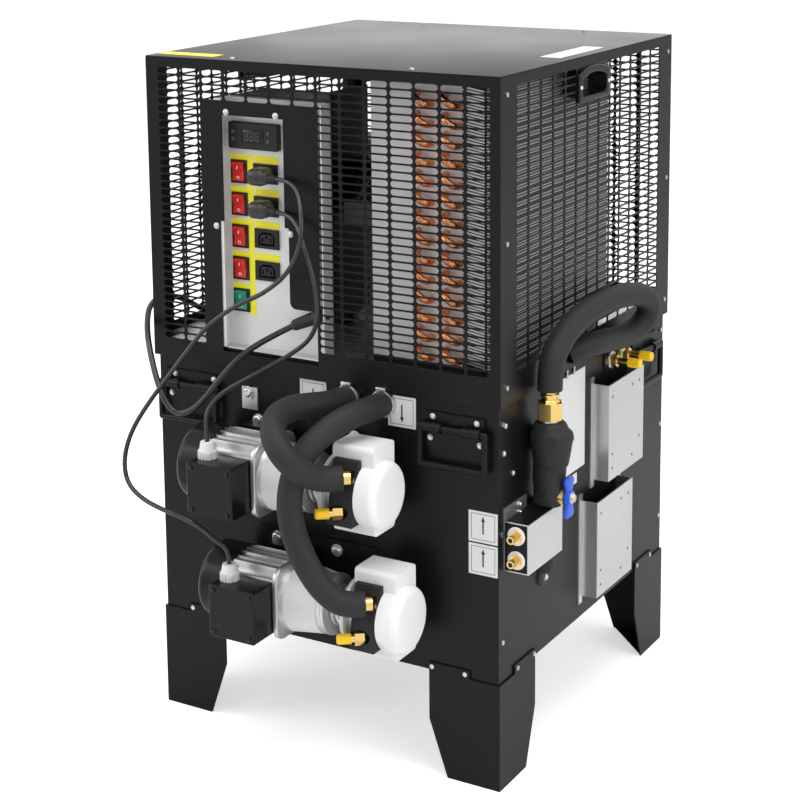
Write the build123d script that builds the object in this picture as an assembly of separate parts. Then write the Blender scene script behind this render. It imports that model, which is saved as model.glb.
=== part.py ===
from build123d import *
from math import atan2, cos, degrees, pi, radians, sin, tan
import os

# Cabinet: lower tank body, upper ventilated cover, four sheet legs
WIDTH = 520.0
DEPTH = 530.0
HEIGHT = 900.0
COVER_HEIGHT = 403.0
COVER_BOTTOM = HEIGHT - COVER_HEIGHT
BODY_BOTTOM = 140.0
COVER_OVERLAP = 5.0
DECK_TOP = COVER_BOTTOM + 25.0
SHEET = 1.5
DECK_SHEET = 2.0
RETURN_FLANGE = 25.0
TOP_FLANGE = 26.0
FOOT_TAB = 22.0
SCREW_INSET = 15.4
COVER_SCREW_EDGE = 23.0
COVER_SCREW_LEVELS = (COVER_BOTTOM + COVER_SCREW_EDGE, COVER_BOTTOM + 200.5, HEIGHT - COVER_SCREW_EDGE)
BODY_SCREW_LEVELS = (BODY_BOTTOM + 53.5, COVER_BOTTOM - 164.0, COVER_BOTTOM - 23.0)
TOP_SCREW_X = 132.0
BODY_SCREW_INSET = 9.0
SCREW_HEAD = 6.6
SCREW_HEAD_HEIGHT = 1.8

# Punched slots of the cover; columns of a field are joined into a few long slots
SLOT_HEIGHT = 7.6
ROW_PITCH = 10.15
SLOT_WEB = 4.0
GRILLE_TOP = HEIGHT - 14.0
GRILLE_BOTTOM = COVER_BOTTOM + 33.0
GRILLE_MARGIN_FRONT = 14.0
GRILLE_MARGIN_SIDE = 36.0
GRILLE_ROWS = int((GRILLE_TOP - GRILLE_BOTTOM) / ROW_PITCH)
LEFT_FIELD_WIDTH = 68.0
STRIP_ROWS = 4
RIGHT_FIELD_GAP = 3.3

# Control cut-out of the front cover and the recessed control plate
CUTOUT_LEFT = -140.5
CUTOUT_RIGHT = -46.5
CUTOUT_TOP = HEIGHT - 71.0
CUTOUT_STEP_Z = CUTOUT_TOP - 139.0
CUTOUT_STEP = 6.0
CUTOUT_FOOT_RIGHT = 0.7
CUTOUT_FOOT_TOP = CUTOUT_TOP - 243.5
CUTOUT_BOTTOM = DECK_TOP - 6.0
CUTOUT_FILLET = 9.0
PLATE_RECESS = 22.0
PLATE_LEFT = -152.0
PLATE_RIGHT = 9.5
PLATE_TOP = HEIGHT - 50.0
PLATE_LIP = 10.0
CONTROL_BOX_DEPTH = 92.0

# Temperature controller, rocker switches and appliance outlets
CONTROLLER_X = -102.6
CONTROLLER_Z = CUTOUT_TOP - 27.5
BEZEL_WIDTH = 77.0
BEZEL_HEIGHT = 35.0
BEZEL_PROUD = 8.0
CONTROLLER_BODY = (71.0, 29.0, 55.0)
DISPLAY = (34.0, 17.0, 1.2)
BUTTON_RADIUS = 2.6
BUTTON_LENGTH = 4.0
BUTTON_PROUD = 0.9
BUTTON_TRAVEL = 0.6
BUTTON_LEFT = -30.0
BUTTON_RIGHT = 24.0
BUTTON_HALF_PITCH = 5.0
SLIDE_CLEARANCE = 0.08
SWITCH_X = -129.7
SWITCH_Z = CONTROLLER_Z - 48.5
SWITCH_PITCH = 42.7
SWITCH_COUNT = 5
SWITCH_FLANGE = (24.5, 30.5, 2.2)
SWITCH_BODY = (21.4, 28.8, 17.0)
ROCKER_WIDTH = 17.4
ROCKER_RADIUS = 13.0
ROCKER_PROUD = 6.5
ROCKER_WAIST = 4.0
ROCKER_DEPTH = 5.0
ROCKER_TILT = 8.0
ROCKER_CLEARANCE = 0.4
PIVOT_DEPTH = 1.0
PIN_RADIUS = 1.5
PIN_LENGTH = 1.2
RUNNING_CLEARANCE = 0.05
CUTOUT_CLEARANCE = 0.25
OUTLET_X = -88.1
OUTLET_COUNT = 4
OUTLET_FLANGE = (37.0, 25.5, 2.6)
OUTLET_BODY = (27.0, 20.0, 22.0)
OUTLET_GROOVE = 2.4
OUTLET_GROOVE_DEPTH = 14.0
OUTLET_ISLAND = (20.0, 12.5)
CONTACT_SLOT = (2.2, 5.0, 9.0)

# Legs: folded sheet with a raised two-screw tab on each wing
LEG_WIDTH = 100.0
LEG_FOOT_WIDTH = 74.0
LEG_TAPER_TOP = 75.0
LEG_SHEET = 2.5
LEG_TAB_START = 42.0
LEG_TAB_HEIGHT = 11.0
LEG_SEAT = 60.0
LEG_SCREWS = (48.0, 95.0)
LEG_SCREW_UP = 6.0

# Tank inside the lower body
INSULATION = 40.0
TANK_WALL = 1.2
COIL_LOOPS = 6
COIL_TUBE = 10.0
COIL_PITCH = 32.0
COIL_GAP = 22.0

# Refrigeration set under the cover
CORE_RIGHT = WIDTH / 2 - 24.0
CORE_THICKNESS = 106.0
CORE_LEFT = CORE_RIGHT - CORE_THICKNESS
CORE_FRONT = -DEPTH / 2 + 37.0
CORE_LENGTH = 328.0
CORE_BACK = CORE_FRONT + CORE_LENGTH
CORE_BOTTOM = DECK_TOP + 10.0
CORE_TOP = HEIGHT - 16.0
END_PLATE = 1.5
SHROUD_LEFT = CORE_LEFT - 68.0
END_PLATE_RIGHT = CORE_RIGHT - 14.0
BEND_COLUMNS = (CORE_LEFT + 25.0, CORE_LEFT + 63.0)
BEND_PITCH = 24.4
BEND_COUNT = int((CORE_TOP - CORE_BOTTOM) / BEND_PITCH)
BEND_TUBE = 9.5
BEND_REACH = 15.0
FAN_RADIUS = (CORE_TOP - CORE_BOTTOM) / 2 - 26.0
FAN_TIP_GAP = 4.0
FAN_HUB = 42.0
FAN_DEPTH = 26.0
FAN_BLADES = 5
BLADE_THICKNESS = 2.5
BLADE_CHORD_ANGLE = 48.0
FAN_Z = (CORE_TOP + CORE_BOTTOM) / 2 + 2.0
FAN_MOTOR_RADIUS = 41.0
FAN_MOTOR_LENGTH = 62.0
FAN_SHAFT = 5.0
STRUT = 14.0
COMPRESSOR = (-105.0, 120.0)
COMPRESSOR_RADIUS = 78.0
COMPRESSOR_HEIGHT = 210.0
COMPRESSOR_FOOT = 18.0
AGITATOR = (-95.0, -70.0)
AGITATOR_MOTOR_RADIUS = 40.0
AGITATOR_MOTOR_HEIGHT = 82.0
AGITATOR_SHAFT = 5.0
AGITATOR_LENGTH = 230.0
PROPELLER_RADIUS = 38.0
BEARING_HEIGHT = 14.0

# Circulation pumps: distances along the shaft run from the fan end
PUMP_X = -152.0
PUMP_REACH = 62.0
PUMP_Y = -DEPTH / 2 + COVER_OVERLAP - PUMP_REACH
PUMP_Z = COVER_BOTTOM - 112.0
PUMP_STEP_X = 29.0
PUMP_STEP_Z = -155.0
FAN_COVER_LENGTH = 46.0
FAN_COVER_RADIUS = 50.0
FAN_COVER_WALL = 1.5
MOTOR_LENGTH = 70.0
MOTOR_RADIUS = 42.0
FIN_RADIUS = 49.0
FIN_WIDTH = 2.6
FIN_PITCH = 20.0
STATOR_BORE = 30.0
ROTOR_GAP = 0.6
ADAPTER_LENGTH = 66.0
ADAPTER_RADIUS = 46.0
ADAPTER_WAIST = 37.0
NECK_LENGTH = 30.0
NECK_RADIUS = 22.0
BACK_PLATE = 6.0
BACK_PLATE_RADIUS = 44.0
VOLUTE_LENGTH = 44.0
VOLUTE_RADIUS = 33.0
VOLUTE_WALL = 5.0
SHAFT_RADIUS = 7.0
COOLING_FAN_RADIUS = 40.0
IMPELLER_RADIUS = 26.0
TERMINAL_BOX = (68.0, 43.0, 68.0)
TERMINAL_BOX_OFFSET = 47.0
TERMINAL_BOX_RISE = -4.0
MOTOR_FLAT = 43.0
GLAND_OFFSET = 15.0
GLAND_HEIGHT = 21.0
GLAND_RADIUS = 12.0
GLAND_Y = PUMP_Y - 61.0
FOAM_BLOCK = (60.0, 50.0)
FOAM_TOP = 62.0
FOAM_BOTTOM = -50.0
FOAM_FRONT = 18.0
DISC_LENGTH = 29.0
DISC_RADIUS = 42.0
DISC_ROUND = 10.0
WRAP_INSET = 7.0
WRAP_WIDTH = 36.0
WRAP_TOP = 46.0
WRAP_BOTTOM = -33.0
WRAP_TOP_REACH = 25.0
WRAP_BOTTOM_REACH = 43.0
NIPPLE = (249.0, -37.0, 27.0)
NIPPLE_TURN = 38.0
NIPPLE_RADIUS = 9.0
DRAIN = (240.0, -38.0, -18.0)
DRAIN_TURN = 38.0
BRACKET_PLATE = (185.0, 142.0, 3.0)
BRACKET_START = 22.0
BRACKET_TOP = 57.0
SHELF_SHEET = 3.0
FOOT_HALF = 40.0

# Insulated hoses, leads and mains lead
HOSE = 32.0
LEAD = 6.0
MAINS = 8.0
MAINS_COIL_MIDDLE = 90.0
MAINS_COIL_TURNS_WIDE = 2
MAINS_COIL_TURNS_HIGH = 2
MAINS_COIL_CENTRE = (-196.0, 335.0)

# Supply pipe, brass fittings, guard and mounting channels on the right side
PIPE_REACH = 24.0
PIPE_X = WIDTH / 2 - COVER_OVERLAP + PIPE_REACH
PIPE_Y = -DEPTH / 2 + 97.0
PIPE_FOAM_RADIUS = 21.0
PIPE_BOTTOM = COVER_BOTTOM - 145.0
WRAP_RADIUS = 28.0
COUPLING_WRAP = (COVER_BOTTOM - 93.0, COVER_BOTTOM - 39.0)
LOWER_PIPE_RADIUS = 14.0
LOWER_PIPE_X = PIPE_X - 9.0
LOWER_PIPE_BOTTOM = COVER_BOTTOM - 235.0
UNION_NUT = (COVER_BOTTOM - 35.0, COVER_BOTTOM - 13.0, 16.5)
UNION_TAIL = (COVER_BOTTOM - 13.0, COVER_BOTTOM + 2.0, 9.0)
VALVE_Z = PIPE_BOTTOM + 12.0
VALVE_STEM = 5.0
VALVE_HANDLE = (52.0, 15.0, 5.0)
GUARD_Y = (PIPE_Y - 79.0, PIPE_Y + 17.0)
GUARD_Z = (PIPE_BOTTOM - 66.0, PIPE_BOTTOM - 2.0)
GUARD_REACH = 34.0
GUARD_TAB = 16.0
TAIL_LEVELS = (GUARD_Z[0] + 17.0, GUARD_Z[0] + 48.0)
TAIL_X = PIPE_X - 6.0
BULKHEAD_Y = (DEPTH / 2 - 199.0, DEPTH / 2 - 159.0)
BULKHEAD_Z = COVER_BOTTOM - 21.0
BULKHEAD_REACH = 48.0
CHANNEL_DEPTH = 24.0
CHANNEL_WIDTH = 118.0
CHANNEL_HEIGHT = 133.0
CHANNEL_SHEET = 2.0
CHANNEL_FLANGE = 9.0
CHANNEL_TAB = 10.0
CHANNEL_PLACES = ((DEPTH / 2 - 250.0, COVER_BOTTOM - 175.0), (DEPTH / 2 - 285.0, COVER_BOTTOM - 327.0))
CHANNEL_HOLE = 2.0
CHANNEL_HOLE_INSET = (12.5, 17.5)
CHANNEL_PATTERNS = ((91.0, 80.0), (67.0, 100.0))
STRAP = (24.0, 46.0, 3.0)
STRAP_X = -108.0
STRAP_Z = PUMP_Z + 64.0

# Drop handles and moulded grips
HANDLE_PLATE = (84.0, 44.0, 3.0)
HANDLE_Z = COVER_BOTTOM - 39.0
FRONT_HANDLE_X = WIDTH / 2 - 65.0
FRONT_LEFT_SHIFT = 7.5
SIDE_HANDLE_Y = DEPTH / 2 - 80.0
PIVOT_RISE = 4.0
BAIL_ROD = 4.0
BAIL_WIDTH = 98.0
BAIL_DROP = 48.0
BAIL_OFFSET = 6.5
KNUCKLE_RADIUS = 6.3
KNUCKLE_LENGTH = 26.0
GRIP_Y = 7.0
GRIP_Z = HEIGHT - 40.0
GRIP_FRAME = (106.0, 43.0, 4.0)
GRIP_POCKET = (74.0, 23.0, 20.0)
GRIP_WALL = 2.0

BODY_WIDTH = WIDTH - 2 * COVER_OVERLAP
BODY_DEPTH = DEPTH - 2 * COVER_OVERLAP
FRONT = -BODY_DEPTH / 2
RIGHT = BODY_WIDTH / 2
WALL_TOP = DECK_TOP - DECK_SHEET
PLATE_Y = -DEPTH / 2 + PLATE_RECESS
LOW = (Align.CENTER, Align.CENTER, Align.MIN)


def block(x, y, z):
    """A box between two x, two y and two z values."""
    centre = Pos((x[0] + x[1]) / 2, (y[0] + y[1]) / 2, (z[0] + z[1]) / 2)
    return centre * Box(abs(x[1] - x[0]), abs(y[1] - y[0]), abs(z[1] - z[0]))


def rod(start, toward, radius, length):
    """A round bar from a point along a direction."""
    return Plane(origin=start, z_dir=toward) * Cylinder(radius, length, align=LOW)


def hex_bar(start, toward, radius, length):
    """A hexagonal bar from a point along a direction."""
    return extrude(Plane(origin=start, z_dir=toward) * RegularPolygon(radius, 6), length)


def mirrored(part, plane):
    """The part and its mirror image as separate solids."""
    return [part, mirror(part, about=plane)]


def group(parts):
    return Compound(children=[solid for part in parts for solid in part.solids()])


def slot_field(low, high, top, rows, groups):
    """Rows of long slots between two places on a sheet, split by solid webs."""
    length = (high - low - (groups - 1) * SLOT_WEB) / groups
    slots = []
    for row in range(rows):
        level = top - row * ROW_PITCH - SLOT_HEIGHT / 2
        for column in range(groups):
            middle = low + length / 2 + column * (length + SLOT_WEB)
            slots.append(Pos(middle, level) * Rectangle(length, SLOT_HEIGHT))
    return slots


def cover_sheet(width, slots):
    """Outline of one upright cover sheet in its own plane, with its slots."""
    height = HEIGHT - SHEET - COVER_BOTTOM
    return Pos(0, COVER_BOTTOM + height / 2) * Rectangle(width, height) - slots


def control_cutout():
    left = CUTOUT_LEFT - CUTOUT_STEP
    right = CUTOUT_RIGHT + CUTOUT_STEP
    outline = Polyline(
        (CUTOUT_LEFT, CUTOUT_TOP), (CUTOUT_RIGHT, CUTOUT_TOP), (CUTOUT_RIGHT, CUTOUT_STEP_Z),
        (right, CUTOUT_STEP_Z), (right, CUTOUT_FOOT_TOP), (CUTOUT_FOOT_RIGHT, CUTOUT_FOOT_TOP),
        (CUTOUT_FOOT_RIGHT, CUTOUT_BOTTOM), (left, CUTOUT_BOTTOM), (left, CUTOUT_STEP_Z),
        (CUTOUT_LEFT, CUTOUT_STEP_Z), close=True)
    shape = make_face(outline)
    corner = shape.vertices().sort_by_distance((right, CUTOUT_FOOT_TOP, 0))[0]
    return fillet(corner, CUTOUT_FILLET)


def corner_returns(y_outer, inward):
    """Folded edges of a front or back cover sheet, with tabs that stand on the deck."""
    parts = []
    side = WIDTH / 2 - SHEET
    far = y_outer + inward * RETURN_FLANGE
    for sign in (-1, 1):
        faces = (sign * (side - SHEET), sign * side)
        parts.append(block(faces, (y_outer, far), (DECK_TOP, HEIGHT - SHEET)))
        tab = (sign * (side - FOOT_TAB), sign * side)
        parts.append(block(tab, (y_outer, far), (DECK_TOP, DECK_TOP + SHEET)))
    top = (y_outer, y_outer + inward * TOP_FLANGE)
    parts.append(block((-side, side), top, (HEIGHT - 2 * SHEET, HEIGHT - SHEET)))
    return parts


def cover_front():
    """Front cover sheet: three slotted fields round the control cut-out."""
    edge = WIDTH / 2 - GRILLE_MARGIN_FRONT
    left = slot_field(-edge, -edge + LEFT_FIELD_WIDTH, GRILLE_TOP, GRILLE_ROWS, 1)
    right_start = CUTOUT_FOOT_RIGHT + RIGHT_FIELD_GAP
    right = slot_field(right_start, edge, GRILLE_TOP, GRILLE_ROWS, 2)
    strip_low = -edge + LEFT_FIELD_WIDTH + SLOT_WEB
    strip_high = right_start - SLOT_WEB
    strip = slot_field(strip_low, strip_high, GRILLE_TOP, STRIP_ROWS, 1)
    sheet = cover_sheet(WIDTH, left + right + strip) - control_cutout()
    inner = -DEPTH / 2 + SHEET
    panel = extrude(Plane.XZ.offset(-inner) * sheet, SHEET)
    return panel + corner_returns(inner, 1)


def cover_back():
    edge = WIDTH / 2 - GRILLE_MARGIN_FRONT
    sheet = cover_sheet(WIDTH, slot_field(-edge, edge, GRILLE_TOP, GRILLE_ROWS, 2))
    inner = DEPTH / 2 - SHEET
    panel = extrude(Plane.XZ.offset(-inner) * sheet, -SHEET)
    return panel + corner_returns(inner, -1)


def cover_side(sign):
    """Side cover sheet with its slots and the opening of the moulded grip."""
    edge = DEPTH / 2 - GRILLE_MARGIN_SIDE
    sheet = cover_sheet(DEPTH - 2 * SHEET, slot_field(-edge, edge, GRILLE_TOP, GRILLE_ROWS, 2))
    backing = Pos(GRIP_Y, GRIP_Z) * Rectangle(GRIP_FRAME[0], GRIP_FRAME[1])
    pocket = Pos(GRIP_Y, GRIP_Z) * Rectangle(GRIP_POCKET[0] + 2 * GRIP_WALL, GRIP_POCKET[1] + 2 * GRIP_WALL)
    sheet = sheet + backing - pocket
    return extrude(Plane.YZ.offset(sign * (WIDTH / 2 - SHEET)) * sheet, sign * SHEET)


def grip():
    """Recessed plastic grip: arched frame outside, open pocket inside."""
    outside = Plane.YZ.offset(WIDTH / 2)
    width, height, thick = GRIP_FRAME
    arch = Pos(GRIP_Y, GRIP_Z) * RectangleRounded(width, height, height / 2 - 1)
    frame = extrude(outside * arch, thick)
    frame = chamfer(frame.faces().sort_by(Axis.X)[-1].edges(), thick / 3)
    box = Pos(GRIP_Y, GRIP_Z) * Rectangle(GRIP_POCKET[0] + 2 * GRIP_WALL, GRIP_POCKET[1] + 2 * GRIP_WALL)
    shell = extrude(outside * box, -GRIP_POCKET[2])
    hollow = Pos(GRIP_Y, GRIP_Z) * Rectangle(GRIP_POCKET[0], GRIP_POCKET[1])
    pocket = extrude(outside.offset(thick) * hollow, -(GRIP_POCKET[2] + thick - GRIP_WALL))
    return frame + shell - pocket


def casing_sheet(y):
    return block((-RIGHT, RIGHT), y, (BODY_BOTTOM, WALL_TOP))


def casing_panel(sign):
    """Front or back wall of the lower body with folded edges inside the side walls."""
    outer = sign * BODY_DEPTH / 2
    inner = outer - sign * SHEET
    far = inner - sign * RETURN_FLANGE
    panel = casing_sheet((inner, outer))
    for side in (-1, 1):
        faces = (side * (RIGHT - 2 * SHEET), side * (RIGHT - SHEET))
        panel += block(faces, (inner, far), (BODY_BOTTOM + SHEET, WALL_TOP))
    return panel


def casing_side():
    span = BODY_DEPTH / 2 - SHEET
    return block((RIGHT - SHEET, RIGHT), (-span, span), (BODY_BOTTOM, WALL_TOP))


def casing_base():
    side = RIGHT - SHEET
    span = BODY_DEPTH / 2 - SHEET
    return block((-side, side), (-span, span), (BODY_BOTTOM, BODY_BOTTOM + SHEET))


def deck_plate():
    """Bright deck that closes the tank, with the bearing hole of the agitator."""
    plate = block((-RIGHT, RIGHT), (FRONT, -FRONT), (WALL_TOP, DECK_TOP))
    hole = rod((AGITATOR[0], AGITATOR[1], WALL_TOP - 1), (0, 0, 1), 2 * AGITATOR_SHAFT, DECK_SHEET + 2)
    return plate - hole


def leg():
    """One corner leg: two tapered wings, raised screw tabs, seat and foot plate."""
    wing = Polyline(
        (0, 0), (-LEG_FOOT_WIDTH, 0), (-LEG_WIDTH, LEG_TAPER_TOP), (-LEG_WIDTH, BODY_BOTTOM + LEG_TAB_HEIGHT),
        (-LEG_TAB_START, BODY_BOTTOM + LEG_TAB_HEIGHT), (-LEG_TAB_START, BODY_BOTTOM), (0, BODY_BOTTOM),
        close=True)
    face = make_face(wing)
    outer_x = RIGHT + LEG_SHEET
    outer_y = FRONT - LEG_SHEET
    corner = (outer_x, outer_y, 0)
    front = extrude(Plane(origin=corner, x_dir=(1, 0, 0), z_dir=(0, -1, 0)) * face, -LEG_SHEET)
    side = extrude(Plane(origin=corner, x_dir=(0, -1, 0), z_dir=(-1, 0, 0)) * face, LEG_SHEET)
    seat = block((outer_x - LEG_SEAT, outer_x), (outer_y, outer_y + LEG_SEAT), (BODY_BOTTOM - LEG_SHEET, BODY_BOTTOM))
    foot = Polyline((0, 0), (-LEG_FOOT_WIDTH, 0), (0, LEG_FOOT_WIDTH), close=True)
    sole = extrude(Pos(outer_x, outer_y) * make_face(foot), LEG_SHEET)
    return front + side + seat + sole


def leg_set():
    near = leg()
    pair = [near, mirror(near, about=Plane.YZ)]
    return group(pair + [mirror(part, about=Plane.XZ) for part in pair])


def screw_head(place, outward):
    return hex_bar(place, outward, SCREW_HEAD / 2, SCREW_HEAD_HEIGHT)


def panel_screws():
    """Heads of the sheet-metal screws of the cover, the body and the legs."""
    heads = []
    side = WIDTH / 2
    for sign in (-1, 1):
        for y in (-DEPTH / 2 + SCREW_INSET, DEPTH / 2 - SCREW_INSET):
            heads += [screw_head((sign * side, y, z), (sign, 0, 0)) for z in COVER_SCREW_LEVELS]
        for y in (-BODY_DEPTH / 2 + BODY_SCREW_INSET, BODY_DEPTH / 2 - BODY_SCREW_INSET):
            heads += [screw_head((sign * RIGHT, y, z), (sign, 0, 0)) for z in BODY_SCREW_LEVELS]
        for y in (-DEPTH / 2 + SCREW_INSET, DEPTH / 2 - SCREW_INSET):
            heads.append(screw_head((sign * TOP_SCREW_X, y, HEIGHT), (0, 0, 1)))
    level = BODY_BOTTOM + LEG_SCREW_UP
    for sx in (-1, 1):
        for sy in (-1, 1):
            for reach in LEG_SCREWS:
                x = sx * (RIGHT + LEG_SHEET)
                y = sy * (BODY_DEPTH / 2 + LEG_SHEET)
                heads.append(screw_head((x - sx * reach, y, level), (0, sy, 0)))
                heads.append(screw_head((x, y - sy * reach, level), (sx, 0, 0)))
    return group(heads)


def tank_block(margin, low, high):
    half_x = RIGHT - SHEET - margin
    half_y = BODY_DEPTH / 2 - SHEET - margin
    return block((-half_x, half_x), (-half_y, half_y), (low, high))


def tank_insulation():
    """Foam round the tank, inside the folded edges of the casing."""
    floor = BODY_BOTTOM + SHEET
    outer = tank_block(SHEET, floor, WALL_TOP)
    return outer - tank_block(INSULATION, floor + INSULATION, WALL_TOP)


def tank_levels():
    return BODY_BOTTOM + SHEET + INSULATION, WALL_TOP


def inner_tank():
    floor, top = tank_levels()
    outer = tank_block(INSULATION, floor, top)
    return outer - tank_block(INSULATION + TANK_WALL, floor + TANK_WALL, top)


def evaporator_coil():
    """Stacked loops of copper tube standing in the tank, held by two posts."""
    floor, top = tank_levels()
    margin = INSULATION + TANK_WALL + COIL_GAP
    half_x = RIGHT - SHEET - margin
    half_y = BODY_DEPTH / 2 - SHEET - margin
    base = floor + TANK_WALL
    loops = []
    for turn in range(COIL_LOOPS):
        level = base + COIL_PITCH * (turn + 1)
        outer = block((-half_x, half_x), (-half_y, half_y), (level - COIL_TUBE / 2, level + COIL_TUBE / 2))
        edge_x = half_x - COIL_TUBE
        edge_y = half_y - COIL_TUBE
        loops.append(outer - block((-edge_x, edge_x), (-edge_y, edge_y), (level - COIL_TUBE, level + COIL_TUBE)))
    posts = []
    for sign in (-1, 1):
        x = (sign * (half_x - COIL_TUBE), sign * half_x)
        posts.append(block(x, (-COIL_TUBE, COIL_TUBE), (base, base + COIL_PITCH * (COIL_LOOPS + 1))))
    return loops[0] + loops[1:] + posts


def switch_places():
    return [(SWITCH_X, SWITCH_Z - SWITCH_PITCH * index) for index in range(SWITCH_COUNT)]


def outlet_places():
    return [(OUTLET_X, SWITCH_Z - SWITCH_PITCH * index) for index in range(OUTLET_COUNT)]


def control_plate():
    """Folded control plate behind the cut-out, with the box behind it."""
    cover_inside = -DEPTH / 2 + SHEET
    back = PLATE_Y + SHEET
    plate = block((PLATE_LEFT, PLATE_RIGHT), (PLATE_Y, back), (DECK_TOP, PLATE_TOP))
    for edge, inward in ((PLATE_LEFT, 1), (PLATE_RIGHT, -1)):
        plate += block((edge, edge + inward * SHEET), (cover_inside, back), (DECK_TOP, PLATE_TOP))
    lip = (cover_inside, cover_inside + SHEET)
    plate += block((PLATE_LEFT, PLATE_LEFT + PLATE_LIP), lip, (DECK_TOP, PLATE_TOP))
    rear = PLATE_Y + CONTROL_BOX_DEPTH
    box_left = PLATE_LEFT + 2 * SHEET
    box_right = CUTOUT_RIGHT
    shell = block((box_left, box_right), (back, rear), (CUTOUT_FOOT_TOP - SWITCH_PITCH, PLATE_TOP))
    room = block((box_left + SHEET, box_right - SHEET), (back - SHEET, rear - SHEET),
                 (CUTOUT_FOOT_TOP - SWITCH_PITCH + SHEET, PLATE_TOP - SHEET))
    plate = plate + (shell - room)
    gap = 2 * CUTOUT_CLEARANCE
    through = (PLATE_Y - 1, back + 1)
    for x, z in switch_places():
        w, h = SWITCH_BODY[0] + gap, SWITCH_BODY[1] + gap
        plate -= block((x - w / 2, x + w / 2), through, (z - h / 2, z + h / 2))
    for x, z in outlet_places():
        w, h = OUTLET_BODY[0] + gap, OUTLET_BODY[1] + gap
        plate -= block((x - w / 2, x + w / 2), through, (z - h / 2, z + h / 2))
    w, h = CONTROLLER_BODY[0] + gap, CONTROLLER_BODY[1] + gap
    x, z = CONTROLLER_X, CONTROLLER_Z
    return plate - block((x - w / 2, x + w / 2), through, (z - h / 2, z + h / 2))


def button_places():
    places = []
    for dx in (BUTTON_LEFT, BUTTON_RIGHT):
        for dz in (BUTTON_HALF_PITCH, -BUTTON_HALF_PITCH):
            places.append((CONTROLLER_X + dx, CONTROLLER_Z + dz))
    return places


def temperature_controller():
    """Panel controller: bezel with a sunk display window and four button bores."""
    x, z = CONTROLLER_X, CONTROLLER_Z
    front = PLATE_Y - BEZEL_PROUD
    bezel = block((x - BEZEL_WIDTH / 2, x + BEZEL_WIDTH / 2), (front, PLATE_Y),
                  (z - BEZEL_HEIGHT / 2, z + BEZEL_HEIGHT / 2))
    bezel = fillet(bezel.edges().filter_by(Axis.Y), 3)
    bezel = chamfer(bezel.faces().sort_by(Axis.Y)[0].edges(), 1.2)
    width, height, depth = CONTROLLER_BODY
    body = block((x - width / 2, x + width / 2), (PLATE_Y, PLATE_Y + depth), (z - height / 2, z + height / 2))
    shape = bezel + body
    shape -= block((x - DISPLAY[0] / 2, x + DISPLAY[0] / 2), (front, front + DISPLAY[2]),
                   (z - DISPLAY[1] / 2, z + DISPLAY[1] / 2))
    depth = BUTTON_LENGTH - BUTTON_PROUD + BUTTON_TRAVEL + SLIDE_CLEARANCE
    for bx, bz in button_places():
        shape -= rod((bx, front - 1, bz), (0, 1, 0), BUTTON_RADIUS + SLIDE_CLEARANCE, depth + 1)
    return shape


def button(place):
    front = PLATE_Y - BEZEL_PROUD - BUTTON_PROUD
    key = rod((place[0], front, place[1]), (0, 1, 0), BUTTON_RADIUS, BUTTON_LENGTH)
    return chamfer(key.edges().sort_by(Axis.Y)[0], 0.4)


def switch_frame(place):
    x, z = place
    w, h, thick = SWITCH_FLANGE
    flange = block((x - w / 2, x + w / 2), (PLATE_Y - thick, PLATE_Y), (z - h / 2, z + h / 2))
    w, h, depth = SWITCH_BODY
    body = block((x - w / 2, x + w / 2), (PLATE_Y, PLATE_Y + depth), (z - h / 2, z + h / 2))
    w = ROCKER_WIDTH + 2 * ROCKER_CLEARANCE
    h = 2 * (ROCKER_RADIUS + ROCKER_CLEARANCE)
    room = block((x - w / 2, x + w / 2), (PLATE_Y - thick, PLATE_Y + depth - SHEET), (z - h / 2, z + h / 2))
    frame = flange + body - room
    bore = rod((x - w / 2 - PIN_LENGTH, PLATE_Y + PIVOT_DEPTH, z), (1, 0, 0), PIN_RADIUS + RUNNING_CLEARANCE,
               w + 2 * PIN_LENGTH)
    return frame - bore


def rocker(place):
    """Rocker with a waisted face, rounded ends about its pivot and two pins."""
    profile = Polyline(
        (-ROCKER_RADIUS, ROCKER_DEPTH), (ROCKER_RADIUS, ROCKER_DEPTH), (ROCKER_RADIUS, -ROCKER_PROUD),
        (0, -ROCKER_WAIST), (-ROCKER_RADIUS, -ROCKER_PROUD), close=True)
    side_plane = Plane(origin=(-ROCKER_WIDTH / 2, 0, 0), x_dir=(0, 0, 1), z_dir=(1, 0, 0))
    face = mirror(make_face(profile), about=Plane.XZ)
    body = extrude(side_plane * face, ROCKER_WIDTH)
    body = body & rod((-ROCKER_WIDTH / 2, 0, 0), (1, 0, 0), ROCKER_RADIUS, ROCKER_WIDTH)
    pins = ROCKER_WIDTH + 2 * (ROCKER_CLEARANCE + PIN_LENGTH - RUNNING_CLEARANCE)
    body += rod((-pins / 2, 0, 0), (1, 0, 0), PIN_RADIUS, pins)
    return Pos(place[0], PLATE_Y + PIVOT_DEPTH, place[1]) * Rot(ROCKER_TILT, 0, 0) * body


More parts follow.
